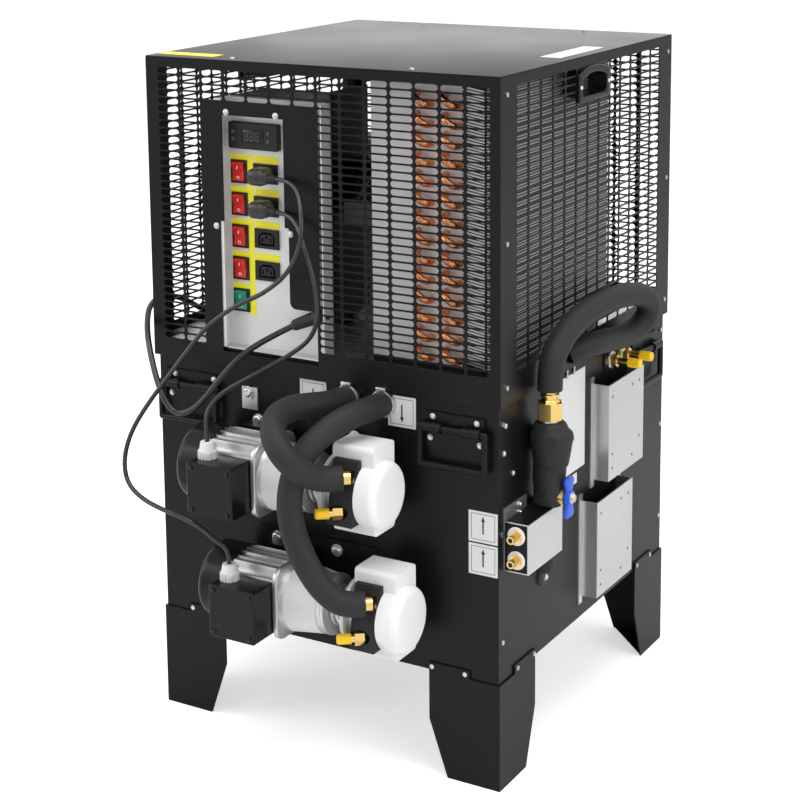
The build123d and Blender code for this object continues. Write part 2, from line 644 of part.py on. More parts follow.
def outlet(place):
    """Appliance outlet: a plug island with three contact slots inside a groove."""
    x, z = place
    w, h, thick = OUTLET_FLANGE
    flange = block((x - w / 2, x + w / 2), (PLATE_Y - thick, PLATE_Y), (z - h / 2, z + h / 2))
    w, h, depth = OUTLET_BODY
    body = block((x - w / 2, x + w / 2), (PLATE_Y, PLATE_Y + depth), (z - h / 2, z + h / 2))
    w, h = OUTLET_ISLAND[0] / 2, OUTLET_ISLAND[1] / 2
    nose = h / 2

    def ring(grow):
        points = [(-w - grow, -h - grow), (w + grow, -h - grow), (w + grow, nose), (w - nose, h + grow),
                  (nose - w, h + grow), (-w - grow, nose)]
        return make_face(Polyline(*points, close=True))

    groove = Plane.XZ.offset(-(PLATE_Y + OUTLET_GROOVE_DEPTH - thick)) * (Pos(x, z) * (ring(OUTLET_GROOVE) - ring(0)))
    shape = flange + body - extrude(groove, OUTLET_GROOVE_DEPTH)
    sw, sh, deep = CONTACT_SLOT
    for dx, dz in ((-6.5, -1.5), (0, 2.5), (6.5, -1.5)):
        cx, cz = x + dx, z + dz
        shape -= block((cx - sw / 2, cx + sw / 2), (PLATE_Y - thick, PLATE_Y - thick + deep), (cz - sh / 2, cz + sh / 2))
    return shape


def condenser_core():
    """Finned block of the condenser with its two folded end plates."""
    core = block((CORE_LEFT, CORE_RIGHT), (CORE_FRONT, CORE_BACK), (CORE_BOTTOM, CORE_TOP))
    stand = block((CORE_LEFT, END_PLATE_RIGHT), (CORE_FRONT, CORE_BACK), (DECK_TOP, CORE_BOTTOM))
    return core + stand


def condenser_tubes():
    """Return bends of the condenser tubes in front of the end plate."""
    face = CORE_FRONT - END_PLATE
    bends = []
    for column in BEND_COLUMNS:
        for index in range(BEND_COUNT):
            z = CORE_BOTTOM + BEND_PITCH * (index + 0.55)
            x0, x1 = column - BEND_TUBE * 1.4, column + BEND_TUBE * 1.4
            reach = face - BEND_REACH
            half = BEND_TUBE / 2
            outer = Polyline((x0 - half, face), (x0 - half, reach + half), (x0 + half, reach - half),
                             (x1 - half, reach - half), (x1 + half, reach + half), (x1 + half, face),
                             (x1 - half, face), (x1 - half, reach + half), (x0 + half, reach + half),
                             (x0 + half, face), close=True)
            bend = extrude(Plane.XY.offset(z - half) * make_face(outer), BEND_TUBE)
            bends.append(bend)
    return group(bends)


def condenser_shroud():
    """Bright end plates, fan plate with its round opening, and closing sheets."""
    face = CORE_FRONT - END_PLATE
    front = block((SHROUD_LEFT, END_PLATE_RIGHT), (face, CORE_FRONT), (DECK_TOP, CORE_TOP))
    back = block((SHROUD_LEFT, END_PLATE_RIGHT), (CORE_BACK, CORE_BACK + END_PLATE), (DECK_TOP, CORE_TOP))
    fan_plate = block((SHROUD_LEFT, SHROUD_LEFT + SHEET), (CORE_FRONT, CORE_BACK), (DECK_TOP, CORE_TOP))
    middle = (CORE_FRONT + CORE_BACK) / 2
    hole = rod((SHROUD_LEFT - 1, middle, FAN_Z), (1, 0, 0), FAN_RADIUS + FAN_TIP_GAP, SHEET + 2)
    top = block((SHROUD_LEFT, CORE_LEFT), (CORE_FRONT, CORE_BACK), (CORE_TOP - SHEET, CORE_TOP))
    return front + back + (fan_plate - hole) + top


def fan_motor():
    """Condenser fan motor on a bar that crosses the fan opening."""
    middle = (CORE_FRONT + CORE_BACK) / 2
    left = SHROUD_LEFT - FAN_DEPTH - STRUT
    body = rod((left - FAN_MOTOR_LENGTH, middle, FAN_Z), (1, 0, 0), FAN_MOTOR_RADIUS, FAN_MOTOR_LENGTH)
    bar = block((left - 3, left), (CORE_FRONT, CORE_BACK), (FAN_Z - STRUT, FAN_Z + STRUT))
    shape = body + bar
    for y in (CORE_FRONT, CORE_BACK - 3):
        shape += block((left - 3, SHROUD_LEFT), (y, y + 3), (FAN_Z - STRUT, FAN_Z + STRUT))
    seat = rod((left - FAN_MOTOR_LENGTH / 2, middle, FAN_Z), (1, 0, 0), FAN_SHAFT + RUNNING_CLEARANCE,
               FAN_MOTOR_LENGTH)
    return shape - seat


def fan_blade():
    """Condenser fan: hub on its shaft and twisted blades."""
    middle = (CORE_FRONT + CORE_BACK) / 2
    left = SHROUD_LEFT - FAN_DEPTH
    shaft_start = left - STRUT - FAN_MOTOR_LENGTH / 2 + 1
    hub = rod((left, middle, FAN_Z), (1, 0, 0), FAN_HUB, FAN_DEPTH)
    shaft = rod((shaft_start, middle, FAN_Z), (1, 0, 0), FAN_SHAFT, left - shaft_start + 1)
    blades = []
    for index in range(FAN_BLADES):
        root = Plane(origin=(0, 0, FAN_HUB - 4), z_dir=(0, 0, 1)) * Rot(0, 0, 34) * Rectangle(FAN_DEPTH, BLADE_THICKNESS)
        tip = Plane(origin=(0, 0, FAN_RADIUS), z_dir=(0, 0, 1)) * Rot(0, 0, 62) * Rectangle(
            FAN_RADIUS * radians(BLADE_CHORD_ANGLE) * 0.6, BLADE_THICKNESS)
        blade = loft([root.faces()[0], tip.faces()[0]])
        turn = Rot(360 / FAN_BLADES * index, 0, 0)
        blades.append(Pos(left + FAN_DEPTH / 2, middle, FAN_Z) * turn * blade)
    reach = block((left - 8, left + FAN_DEPTH + 8), (middle - FAN_RADIUS, middle + FAN_RADIUS),
                  (FAN_Z - FAN_RADIUS, FAN_Z + FAN_RADIUS))
    return hub + shaft + [blade & reach for blade in blades]


def compressor():
    """Welded compressor shell on its feet, with the terminal cover."""
    x, y = COMPRESSOR
    base = DECK_TOP + COMPRESSOR_FOOT
    shell = Pos(x, y, base) * Cylinder(COMPRESSOR_RADIUS, COMPRESSOR_HEIGHT, align=LOW)
    shell = fillet(shell.edges(), 26)
    foot = block((x - 90, x + 90), (y - 60, y + 60), (base + 4, base + 8))
    shape = shell + foot
    for sx in (-1, 1):
        for sy in (-1, 1):
            shape += hex_bar((x + sx * 78, y + sy * 48, DECK_TOP), (0, 0, 1), 11, COMPRESSOR_FOOT + 6)
    box = block((x - 30, x + 30), (y - COMPRESSOR_RADIUS - 22, y - COMPRESSOR_RADIUS + 20),
                (base + 90, base + 150))
    return shape + box


def agitator_motor():
    """Upright agitator motor on a raised bearing over the deck hole."""
    x, y = AGITATOR
    foot = Pos(x, y, DECK_TOP) * Cylinder(AGITATOR_MOTOR_RADIUS * 0.8, BEARING_HEIGHT, align=LOW)
    body = Pos(x, y, DECK_TOP + BEARING_HEIGHT) * Cylinder(AGITATOR_MOTOR_RADIUS, AGITATOR_MOTOR_HEIGHT, align=LOW)
    body = chamfer(body.edges().group_by(Axis.Z)[-1], 6)
    bore = rod((x, y, DECK_TOP - 1), (0, 0, 1), AGITATOR_SHAFT + RUNNING_CLEARANCE, AGITATOR_MOTOR_HEIGHT * 0.7)
    return foot + body - bore


def agitator_shaft():
    x, y = AGITATOR
    top = DECK_TOP + AGITATOR_MOTOR_HEIGHT * 0.7 - 2
    bottom = DECK_TOP - AGITATOR_LENGTH
    shaft = rod((x, y, bottom), (0, 0, 1), AGITATOR_SHAFT, top - bottom)
    shaft += rod((x, y, bottom), (0, 0, 1), 2 * AGITATOR_SHAFT, 16)
    for index in range(3):
        turn = Pos(x, y, bottom + 8) * Rot(0, 0, 120 * index) * Rot(35, 0, 0)
        shaft += turn * Pos(PROPELLER_RADIUS / 2, 0, 0) * Box(PROPELLER_RADIUS, 16, 2)
    return shaft


class Shaftline:
    """Places along one pump's shaft, which runs to the right from the fan end."""

    def __init__(self, index):
        self.x = PUMP_X + PUMP_STEP_X * index
        self.y = PUMP_Y
        self.z = PUMP_Z + PUMP_STEP_Z * index
        self.motor = self.x + FAN_COVER_LENGTH
        self.adapter = self.motor + MOTOR_LENGTH
        self.neck = self.adapter + ADAPTER_LENGTH
        self.plate = self.neck + NECK_LENGTH
        self.volute = self.plate + BACK_PLATE
        self.nose = self.volute + VOLUTE_LENGTH

    def bar(self, start, radius, length):
        return rod((start, self.y, self.z), (1, 0, 0), radius, length)

    def at(self, offset):
        return (self.x + offset[0], self.y + offset[1], self.z + offset[2])


def pump_motor(line):
    """Finned motor with its foot, front shield, ringed neck and pump back plate."""
    profile = Circle(MOTOR_RADIUS)
    for angle in range(0, 360, int(FIN_PITCH)):
        fin = Rot(0, 0, angle) * Pos((FIN_RADIUS + STATOR_BORE) / 2, 0) * Rectangle(FIN_RADIUS - STATOR_BORE, FIN_WIDTH)
        profile += fin
    foot_depth = FRONT - BRACKET_PLATE[2] - PUMP_Y
    profile += Pos(foot_depth / 2 + 9, 0) * Rectangle(foot_depth - 18, 2 * FOOT_HALF)
    profile -= Pos(-MOTOR_FLAT - FIN_RADIUS / 2, 0) * Rectangle(FIN_RADIUS, 2 * FIN_RADIUS)
    across = Plane(origin=(line.motor, line.y, line.z), x_dir=(0, 1, 0), z_dir=(1, 0, 0))
    body = extrude(across * profile, MOTOR_LENGTH)
    shield = line.bar(line.adapter, ADAPTER_RADIUS, ADAPTER_LENGTH * 0.45)
    shield += loft([
        (Plane(origin=(line.adapter + ADAPTER_LENGTH * 0.45, line.y, line.z), z_dir=(1, 0, 0)) * Circle(ADAPTER_RADIUS - 2)).faces()[0],
        (Plane(origin=(line.neck, line.y, line.z), z_dir=(1, 0, 0)) * Circle(ADAPTER_WAIST)).faces()[0]])
    neck = line.bar(line.neck, NECK_RADIUS, NECK_LENGTH)
    for share in (0.0, 0.4, 0.8):
        neck += line.bar(line.neck + NECK_LENGTH * share, NECK_RADIUS + 4, NECK_LENGTH * 0.18)
    plate = line.bar(line.plate, BACK_PLATE_RADIUS, BACK_PLATE)
    volute = line.bar(line.volute, VOLUTE_RADIUS, VOLUTE_LENGTH)
    shape = body + shield + neck + plate + volute
    bore = SHAFT_RADIUS + RUNNING_CLEARANCE
    shape -= line.bar(line.motor - 1, bore, line.nose - line.motor - VOLUTE_WALL)
    shape -= line.bar(line.motor + VOLUTE_WALL, STATOR_BORE, MOTOR_LENGTH - VOLUTE_WALL)
    shape -= line.bar(line.volute, VOLUTE_RADIUS - VOLUTE_WALL, VOLUTE_LENGTH - VOLUTE_WALL)
    return shape


def pump_rotor(line):
    """Motor rotor, cooling fan and impeller on one shaft."""
    start = line.x + FAN_COVER_LENGTH * 0.25
    shape = line.bar(start, SHAFT_RADIUS, line.nose - VOLUTE_WALL - 2 - start)
    inset = VOLUTE_WALL + 3
    shape += line.bar(line.motor + inset, STATOR_BORE - ROTOR_GAP, MOTOR_LENGTH - inset - 3)
    shape += line.bar(start + 2, 14, FAN_COVER_LENGTH * 0.5)
    for index in range(6):
        vane = block((0, FAN_COVER_LENGTH * 0.45), (0, COOLING_FAN_RADIUS), (-1.2, 1.2))
        shape += Pos(start + 3, line.y, line.z) * Rot(60 * index, 0, 0) * vane
    shape += line.bar(line.volute + 4, IMPELLER_RADIUS, 4)
    for index in range(5):
        vane = block((0, 16), (4, IMPELLER_RADIUS), (-1.5, 1.5))
        shape += Pos(line.volute + 7, line.y, line.z) * Rot(72 * index, 0, 0) * vane
    return shape


def pump_cover_parts(line):
    """Domed fan cover and the terminal box of one motor."""
    cover = line.bar(line.x, FAN_COVER_RADIUS, FAN_COVER_LENGTH)
    cover = fillet(cover.edges().sort_by(Axis.X)[0], 9)
    inside = line.bar(line.x + FAN_COVER_WALL, FAN_COVER_RADIUS - FAN_COVER_WALL - 1, FAN_COVER_LENGTH - FAN_COVER_WALL)
    inside = fillet(inside.edges().sort_by(Axis.X)[0], 8)
    cover -= inside
    for index in range(8):
        slot = block((line.x - 1, line.x + 4), (14, 34), (-2.5, 2.5))
        cover -= Pos(0, line.y, line.z) * Rot(45 * index, 0, 0) * slot
    width, depth, height = TERMINAL_BOX
    x = line.x + TERMINAL_BOX_OFFSET
    z = line.z + TERMINAL_BOX_RISE
    box = block((x, x + width), (PUMP_Y - MOTOR_FLAT - depth, PUMP_Y - MOTOR_FLAT), (z - height / 2, z + height / 2))
    box = fillet(box.edges().filter_by(Axis.Y), 3)
    box = chamfer(box.faces().sort_by(Axis.Y)[0].edges(), 1)
    return [cover, box]


def gland(line):
    """Tapered cable gland on top of the terminal box."""
    x = line.x + TERMINAL_BOX_OFFSET + GLAND_OFFSET
    z = line.z + TERMINAL_BOX_RISE + TERMINAL_BOX[2] / 2
    base = hex_bar((x, GLAND_Y, z), (0, 0, 1), GLAND_RADIUS, GLAND_HEIGHT * 0.35)
    cone = Pos(x, GLAND_Y, z + GLAND_HEIGHT * 0.35) * Cone(
        GLAND_RADIUS * 0.92, GLAND_RADIUS * 0.72, GLAND_HEIGHT * 0.65, align=LOW)
    return base + cone


def pump_foam(line):
    """White foam round the pump head: a block behind and above, a rounded disc in front."""
    length, depth = FOAM_BLOCK
    y = (line.y - FOAM_FRONT, line.y - FOAM_FRONT + depth)
    z = (line.z + FOAM_BOTTOM, line.z + FOAM_TOP)
    foam = block((line.volute + 2, line.volute + length), y, z)
    foam = fillet(foam.edges().filter_by(Axis.X), 6)
    disc = line.bar(line.nose, DISC_RADIUS, DISC_LENGTH)
    disc = fillet(disc.edges().sort_by(Axis.X)[-1], DISC_ROUND)
    foam += disc
    return foam - line.bar(line.volute - 1, VOLUTE_RADIUS + 0.3, VOLUTE_LENGTH + 1.3)


def pump_wrap(line):
    """Black foam tape over the front of the pump head, thicker at the bottom."""
    back = -FOAM_FRONT - 0.3
    side = Polyline((back, WRAP_BOTTOM), (-WRAP_BOTTOM_REACH, WRAP_BOTTOM), (-WRAP_TOP_REACH, WRAP_TOP),
                    (back, WRAP_TOP), close=True)
    start = line.volute + WRAP_INSET
    across = Plane(origin=(start, line.y, line.z), x_dir=(0, 1, 0), z_dir=(1, 0, 0))
    wrap = extrude(across * make_face(side), WRAP_WIDTH)
    wrap -= line.bar(line.volute - 1, VOLUTE_RADIUS + 0.3, VOLUTE_LENGTH + 2)
    toward = tail_direction(NIPPLE_TURN)
    wrap -= rod(shifted(line.at(NIPPLE), toward, -12), toward, NIPPLE_RADIUS + 0.1, 30)
    wrap -= rod(shifted(line.at(NIPPLE), toward, 2), toward, HOSE / 2 + 0.3, 30)
    return wrap - rod(shifted(line.at(DRAIN), tail_direction(DRAIN_TURN), -12), tail_direction(DRAIN_TURN), 9.3, 30)


def pump_bracket(line):
    """Black steel bracket on the cabinet wall with two shelves for the motor foot."""
    width, height, thick = BRACKET_PLATE
    x = line.x + BRACKET_START
    top = line.z + BRACKET_TOP
    sheet = Pos(x + width / 2, top - height / 2) * RectangleRounded(width, height, 8)
    plate = extrude(Plane.XZ.offset(-FRONT) * sheet, thick)
    for sign in (-1, 1):
        z = (line.z + sign * FOOT_HALF, line.z + sign * (FOOT_HALF + SHELF_SHEET))
        plate += block((line.motor, line.adapter), (FRONT - thick, FRONT - thick - 22), z)
    return plate


def tail_direction(turn):
    return (-cos(radians(turn)), -sin(radians(turn)), 0)


def shifted(point, direction, distance):
    return tuple(p + d * distance for p, d in zip(point, direction))


def pump_tails(line):
    """Hose nipple and drain tail in the front of one pump head."""
    toward = tail_direction(NIPPLE_TURN)
    nipple = line.at(NIPPLE)
    tail = rod(shifted(nipple, toward, -6), toward, NIPPLE_RADIUS, 9)
    toward = tail_direction(DRAIN_TURN)
    drain = line.at(DRAIN)
    drain_tail = hex_bar(shifted(drain, toward, -4), toward, 9, 12)
    drain_tail += rod(shifted(drain, toward, 8), toward, 5, 14)
    return [tail, drain_tail]


def cap(place, direction, radius=6.5, length=18):
    """Push-on protective cap with a rounded end and an open mouth."""
    body = rod(place, direction, radius, length)
    body = fillet(body.edges().sort_by_distance(shifted(place, direction, length))[0], radius * 0.45)
    return body - rod(place, direction, 5.02, length - 4)


def brass_tail(place, direction, hex_radius, hex_length, reach):
    tail = hex_bar(place, direction, hex_radius, hex_length)
    return tail + rod(shifted(place, direction, hex_length), direction, 5, reach - hex_length)


def supply_pipe():
    """Foam-covered supply pipe on the right side, with its thick wrapped coupling."""
    upper = Pos(PIPE_X, PIPE_Y, PIPE_BOTTOM) * Cylinder(PIPE_FOAM_RADIUS, COUPLING_WRAP[0] - PIPE_BOTTOM, align=LOW)
    length = COUPLING_WRAP[1] - COUPLING_WRAP[0]
    wrap = Pos(RIGHT + WRAP_RADIUS, PIPE_Y, COUPLING_WRAP[0]) * Cylinder(WRAP_RADIUS, length, align=LOW)
    wrap = chamfer(wrap.edges().group_by(Axis.Z)[-1], 7)
    lower = Pos(LOWER_PIPE_X, PIPE_Y, LOWER_PIPE_BOTTOM) * Cylinder(
        LOWER_PIPE_RADIUS, PIPE_BOTTOM - LOWER_PIPE_BOTTOM, align=LOW)
    elbow = rod((RIGHT, PIPE_Y, LOWER_PIPE_BOTTOM + LOWER_PIPE_RADIUS), (1, 0, 0), LOWER_PIPE_RADIUS,
                LOWER_PIPE_X - RIGHT)
    stem = rod((PIPE_X, PIPE_Y, VALVE_Z), (1, 0, 0), 12, PIPE_FOAM_RADIUS + 4)
    return upper + wrap + lower + elbow - stem


def union_fitting():
    low, high, radius = UNION_NUT
    nut = hex_bar((PIPE_X, PIPE_Y, low), (0, 0, 1), radius, high - low)
    neck = rod((PIPE_X, PIPE_Y, COUPLING_WRAP[1]), (0, 0, 1), radius * 0.75, low - COUPLING_WRAP[1])
    low, high, radius = UNION_TAIL
    return nut + neck + rod((PIPE_X, PIPE_Y, low), (0, 0, 1), radius, high - low)


def valve_body():
    """Bonnet of the ball valve, which carries the turning stem."""
    bonnet = rod((PIPE_X, PIPE_Y, VALVE_Z), (1, 0, 0), 11.5, PIPE_FOAM_RADIUS + 2)
    return bonnet - rod((PIPE_X + 4, PIPE_Y, VALVE_Z), (1, 0, 0), VALVE_STEM + RUNNING_CLEARANCE, PIPE_FOAM_RADIUS)


def valve_handle():
    """Butterfly handle with its stem and nut."""
    start = PIPE_X + PIPE_FOAM_RADIUS + 3
    length, width, thick = VALVE_HANDLE
    stem = rod((PIPE_X + 5, PIPE_Y, VALVE_Z), (1, 0, 0), VALVE_STEM, start - PIPE_X)
    wing = SlotOverall(length, width).face()
    plane = Plane(origin=(start, PIPE_Y, VALVE_Z), x_dir=(0, 0, 1), z_dir=(1, 0, 0))
    blade = extrude(plane * wing, thick)
    hub = rod((start, PIPE_Y, VALVE_Z), (1, 0, 0), width / 2 + 2, thick + 1)
    nut = hex_bar((start + thick + 1, PIPE_Y, VALVE_Z), (1, 0, 0), 5, 4)
    return stem + blade + hub + nut


def brass_fittings():
    lines = [Shaftline(index) for index in range(2)]
    parts = [union_fitting(), valve_body()]
    for level in TAIL_LEVELS:
        parts.append(brass_tail((TAIL_X, GUARD_Y[0], level), (0, -1, 0), 8.5, 5, 18))
    for y in BULKHEAD_Y:
        washer = rod((RIGHT, y, BULKHEAD_Z), (1, 0, 0), 13, 3)
        nut = hex_bar((RIGHT + 3, y, BULKHEAD_Z), (1, 0, 0), 9, 11)
        parts.append(washer + nut + rod((RIGHT + 14, y, BULKHEAD_Z), (1, 0, 0), 5, BULKHEAD_REACH - 20))
    for line in lines:
        parts += pump_tails(line)
    return group(parts)


def tail_caps():
    lines = [Shaftline(index) for index in range(2)]
    caps = []
    toward = tail_direction(DRAIN_TURN)
    for line in lines:
        caps.append(cap(shifted(line.at(DRAIN), toward, 12), toward))
    for y in BULKHEAD_Y:
        caps.append(cap((RIGHT + BULKHEAD_REACH - 18, y, BULKHEAD_Z), (1, 0, 0)))
    return group(caps)


def guard():
    """Folded guard over the two return tails: front, outer and rear walls with a screw tab."""
    outer = RIGHT + GUARD_REACH
    wall = block((outer - CHANNEL_SHEET, outer), GUARD_Y, GUARD_Z)
    for y in GUARD_Y:
        inward = 1 if y == GUARD_Y[0] else -1
        wall += block((RIGHT, outer), (y, y + inward * CHANNEL_SHEET), GUARD_Z)
    tab = (GUARD_Z[1], GUARD_Z[1] + GUARD_TAB)
    low, high = GUARD_Y
    wall += block((RIGHT, RIGHT + CHANNEL_SHEET), (low, low + 60), (tab[0] - 8, tab[1]))
    for level in TAIL_LEVELS:
        wall -= rod((TAIL_X, low - 1, level), (0, 1, 0), 5, CHANNEL_SHEET + 2)
    return wall


def channel(place):
    """Open mounting channel: drilled outer plate, two webs and two wall flanges."""
    y, z = place
    outer = RIGHT + CHANNEL_DEPTH
    span = (y, y + CHANNEL_WIDTH)
    rise = (z, z + CHANNEL_HEIGHT)
    plate = block((outer - CHANNEL_SHEET, outer), span, rise)
    long_rise = (z - CHANNEL_TAB, z + CHANNEL_HEIGHT + CHANNEL_TAB)
    for edge, away in ((span[0], -1), (span[1], 1)):
        plate += block((RIGHT, outer), (edge, edge - away * CHANNEL_SHEET), rise)
        plate += block((RIGHT, RIGHT + CHANNEL_SHEET), (edge - away * CHANNEL_SHEET, edge + away * CHANNEL_FLANGE),
                       long_rise)
    first = (y + CHANNEL_HOLE_INSET[0], z + CHANNEL_HEIGHT - CHANNEL_HOLE_INSET[1])
    for across, down in CHANNEL_PATTERNS:
        for hy in (first[0], first[0] + across):
            for hz in (first[1], first[1] - down):
                plate -= rod((outer - CHANNEL_SHEET - 1, hy, hz), (1, 0, 0), CHANNEL_HOLE, CHANNEL_SHEET + 2)
    return plate


def strap():
    """Bright strap that hangs the upper pump bracket on the wall."""
    width, height, thick = STRAP
    x = (STRAP_X - width / 2, STRAP_X + width / 2)
    bolt_z = STRAP_Z + height / 4
    bolt = hex_bar((STRAP_X, FRONT - thick, bolt_z), (0, -1, 0), 6, 4)
    return block(x, (FRONT - thick, FRONT), (STRAP_Z - height / 2 + 16, STRAP_Z + height / 2)) + bolt


def bright_brackets():
    return group([guard(), strap()] + [channel(place) for place in CHANNEL_PLACES])


def handle_plate():
    """Handle plate with the rolled knuckles that carry the bail, at the front right place."""
    width, height, thick = HANDLE_PLATE
    x = FRONT_HANDLE_X
    plate = block((x - width / 2, x + width / 2), (FRONT - thick, FRONT), (HANDLE_Z - height / 2, HANDLE_Z + height / 2))
    y = FRONT - thick - BAIL_OFFSET + 0.5
    z = HANDLE_Z + PIVOT_RISE
    for sign in (-1, 1):
        start = x + sign * (width / 2 - 2 - KNUCKLE_LENGTH / 2) - KNUCKLE_LENGTH / 2
        plate += rod((start, y, z), (1, 0, 0), KNUCKLE_RADIUS, KNUCKLE_LENGTH)
        plate += block((start, start + KNUCKLE_LENGTH), (FRONT - thick, y), (z - KNUCKLE_RADIUS / 2, z + KNUCKLE_RADIUS / 2))
    return plate - rod((x - width, y, z), (1, 0, 0), BAIL_ROD + RUNNING_CLEARANCE, 2 * width)


def bail():
    """Round-bar bail: pivot bar, two arms and the hand bar, hanging down."""
    x = FRONT_HANDLE_X
    y = FRONT - HANDLE_PLATE[2] - BAIL_OFFSET + 0.5
    z = HANDLE_Z + PIVOT_RISE
    half = BAIL_WIDTH / 2 - BAIL_ROD
    bar = rod((x - half, y, z), (1, 0, 0), BAIL_ROD, 2 * half)
    hand = rod((x - half, y, z - BAIL_DROP), (1, 0, 0), BAIL_ROD, 2 * half)
    shape = bar + hand
    for sign in (-1, 1):
        arm = (x + sign * half, y, z - BAIL_DROP)
        shape += rod(arm, (0, 0, 1), BAIL_ROD, BAIL_DROP)
        for end in (z, z - BAIL_DROP):
            shape += Pos(x + sign * half, y, end) * Sphere(BAIL_ROD)
    return shape


def handle_places():
    """Front right, front left, right side and left side, as moves of the front right one."""
    turned = Pos(RIGHT - BODY_DEPTH / 2, SIDE_HANDLE_Y, 0) * Rot(0, 0, 90) * Pos(-FRONT_HANDLE_X, 0, 0)
    return {
        "front_right": lambda part: part,
        "front_left": lambda part: Pos(-FRONT_LEFT_SHIFT, 0, 0) * mirror(part, about=Plane.YZ),
        "side_right": lambda part: turned * part,
        "side_left": lambda part: mirror(turned * part, about=Plane.YZ),
    }


def tube(points, diameter, label):
    """Round tube of straight runs joined by tangent arcs, as large as the runs allow."""
    places = [Vector(*point) for point in points]
    radii = []
    for before, corner, after in zip(places, places[1:], places[2:]):
        turn = radians((corner - before).get_angle(after - corner))
        shorter = min((corner - before).length, (after - corner).length)
        radii.append(0.45 * shorter / tan(turn / 2))
    path = FilletPolyline(*places, radius=radii)
    start = places[1] - places[0]
    shape = sweep(Plane(origin=places[0], z_dir=start) * Circle(diameter / 2), path=path)
    expected = pi * diameter ** 2 / 4 * path.length
    print(label, "length", round(path.length), "smallest radius", round(min(radii), 1),
          "volume share", round(shape.volume / expected, 4))
    return shape


def hose(points, wall, label):
    """An insulated hose, cut flush with the cabinet wall it enters."""
    return split(tube(points, HOSE, label), bisect_by=wall, keep=Keep.TOP)


def nipple_mouth(index):
    toward = tail_direction(NIPPLE_TURN)
    return shifted(Shaftline(index).at(NIPPLE), toward, 3)


HOSE_UPPER = [nipple_mouth(0), shifted(nipple_mouth(0), tail_direction(NIPPLE_TURN), 26), (66, -408, 429),
              (53, -430, 455), (33, -420, 476), (20, -394, 487),
              (20, -362, 490), (31, -328, 486), (41, -296, 481), (44, -250, 480)]
HOSE_LOWER = [(94, -250, 480), (97, -288, 481), (88, -318, 481), (73, -345, 471), (60, -370, 456),
              (51, -389, 437), (46, -400, 411), (44, -403, 382), (48, -402, 352), (58, -400, 323),
              (72, -396, 295), (88, -388, 272), shifted(nipple_mouth(1), tail_direction(NIPPLE_TURN), 24),
              nipple_mouth(1)]
HOSE_SIDE = [(PIPE_X, PIPE_Y, UNION_TAIL[1]), (PIPE_X, PIPE_Y, 522), (280, -157, 545), (281, -128, 562), (282, -92, 573),
             (285, -46, 579), (289, 2, 578), (293, 50, 571), (295, 94, 562), (292, 111, 534), (286, 94, 506),
             (281, 60, 502), (279, 28, 497), (275, 0, 485), (263, -24, 473), (240, -42, 465)]
PLUG_EXIT_X = OUTLET_X + 30.1
PLUG_Y = PLATE_Y - 26.5
LEAD_UPPER = [(PLUG_EXIT_X, PLUG_Y, SWITCH_Z - SWITCH_PITCH), (-38, PLUG_Y, SWITCH_Z - SWITCH_PITCH), (-16, -280, 697), (1, -292, 675),
              (14, -296, 645), (21, -296, 612), (18, -292, 581), (5, -291, 556), (-19, -301, 536),
              (-46, -320, 518), (-69, -341, 504), (-86, -362, 491), (-94, -379, 471), (-90, -383, 450),
              (-90, GLAND_Y, 436)]
LEAD_LOWER = [(PLUG_EXIT_X, PLUG_Y, SWITCH_Z), (-38, PLUG_Y, SWITCH_Z), (-15, -281, 744), (1, -298, 722), (6, -306, 690),
              (-3, -310, 660), (-20, -312, 637), (-50, -314, 614), (-82, -317, 599), (-108, -320, 582),
              (-132, -325, 562), (-153, -330, 535), (-177, -341, 500), (-204, -355, 460), (-223, -368, 423),
              (-228, -378, 389), (-218, -386, 362), (-193, -392, 348), (-160, -397, 341), (-124, -399, 337),
              (-94, -397, 328), (-75, -391, 311), (-61, GLAND_Y, 299), (-61, GLAND_Y, 281)]
RELIEF_START = (PLATE_RIGHT - SHEET, PLATE_Y - 10.5, CUTOUT_FOOT_TOP - 2.5)
RELIEF_END = (-40.0, PLATE_Y - 16.0, CUTOUT_FOOT_TOP - 23.5)
CLIP_AFTER = (-268.0, -134.0, 524.0)
CLIP_BEFORE = (-266.0, -84.0, 494.0)
MAINS_ROUTE = [RELIEF_END, (-68, -277, 546), (-94, -299, 526), (-114, -314, 500), (-135, -324, 469),
               (-157, -327, 448), (-182, -328, 442), (-201, -328, 464), (-221, -317, 490), (-245, -298, 525),
               (-266, -272, 543), (-284, -242, 557), (-288, -206, 563), (-280, -172, 551),
               CLIP_AFTER, CLIP_BEFORE, (-270, -44, 440), (-274, -14, 388), (-277, 16, 332), (-279, 48, 274),
               (-280, 84, 216), (-279, 122, 162), (-276, 162, 112), (-271, 204, 66), (-265, 246, 30),
               (-257, 286, 9), (-246, 318, MAINS / 2)]


def lead_plugs():
    """Right-angle plugs in the two upper outlets."""
    parts = []
    for x, z in outlet_places()[:2]:
        face = PLATE_Y - OUTLET_FLANGE[2]
        body = block((x - 19, x + 17), (PLUG_Y - 8, face), (z - 11, z + 11))
        body = fillet(body.edges().filter_by(Axis.X), 4)
        body += rod((x + 17, PLUG_Y, z), (1, 0, 0), 5, PLUG_EXIT_X - x - 17)
        parts.append(body)
    return parts


def mains_plug():
    """Moulded two-pin wall plug beside the coil, with the end of its lead."""
    x, y = MAINS_COIL_CENTRE
    y += (MAINS_COIL_MIDDLE + MAINS) / 2
    start = x + 74
    body = block((start, start + 44), (y - 19, y + 19), (0, 28))
    body = fillet(body.edges().filter_by(Axis.X), 8)
    level = MAINS * 1.5
    body += rod((x + 22, y, level), (1, 0, 0), MAINS / 2, 30)
    body += Plane(origin=(x + 50, y, level), z_dir=(1, 0, 0)) * Cone(MAINS / 2, MAINS, 24, align=LOW)
    for dy in (-9.5, 9.5):
        body += rod((start + 44, y + dy, 14), (1, 0, 0), 2.4, 19)
    return body


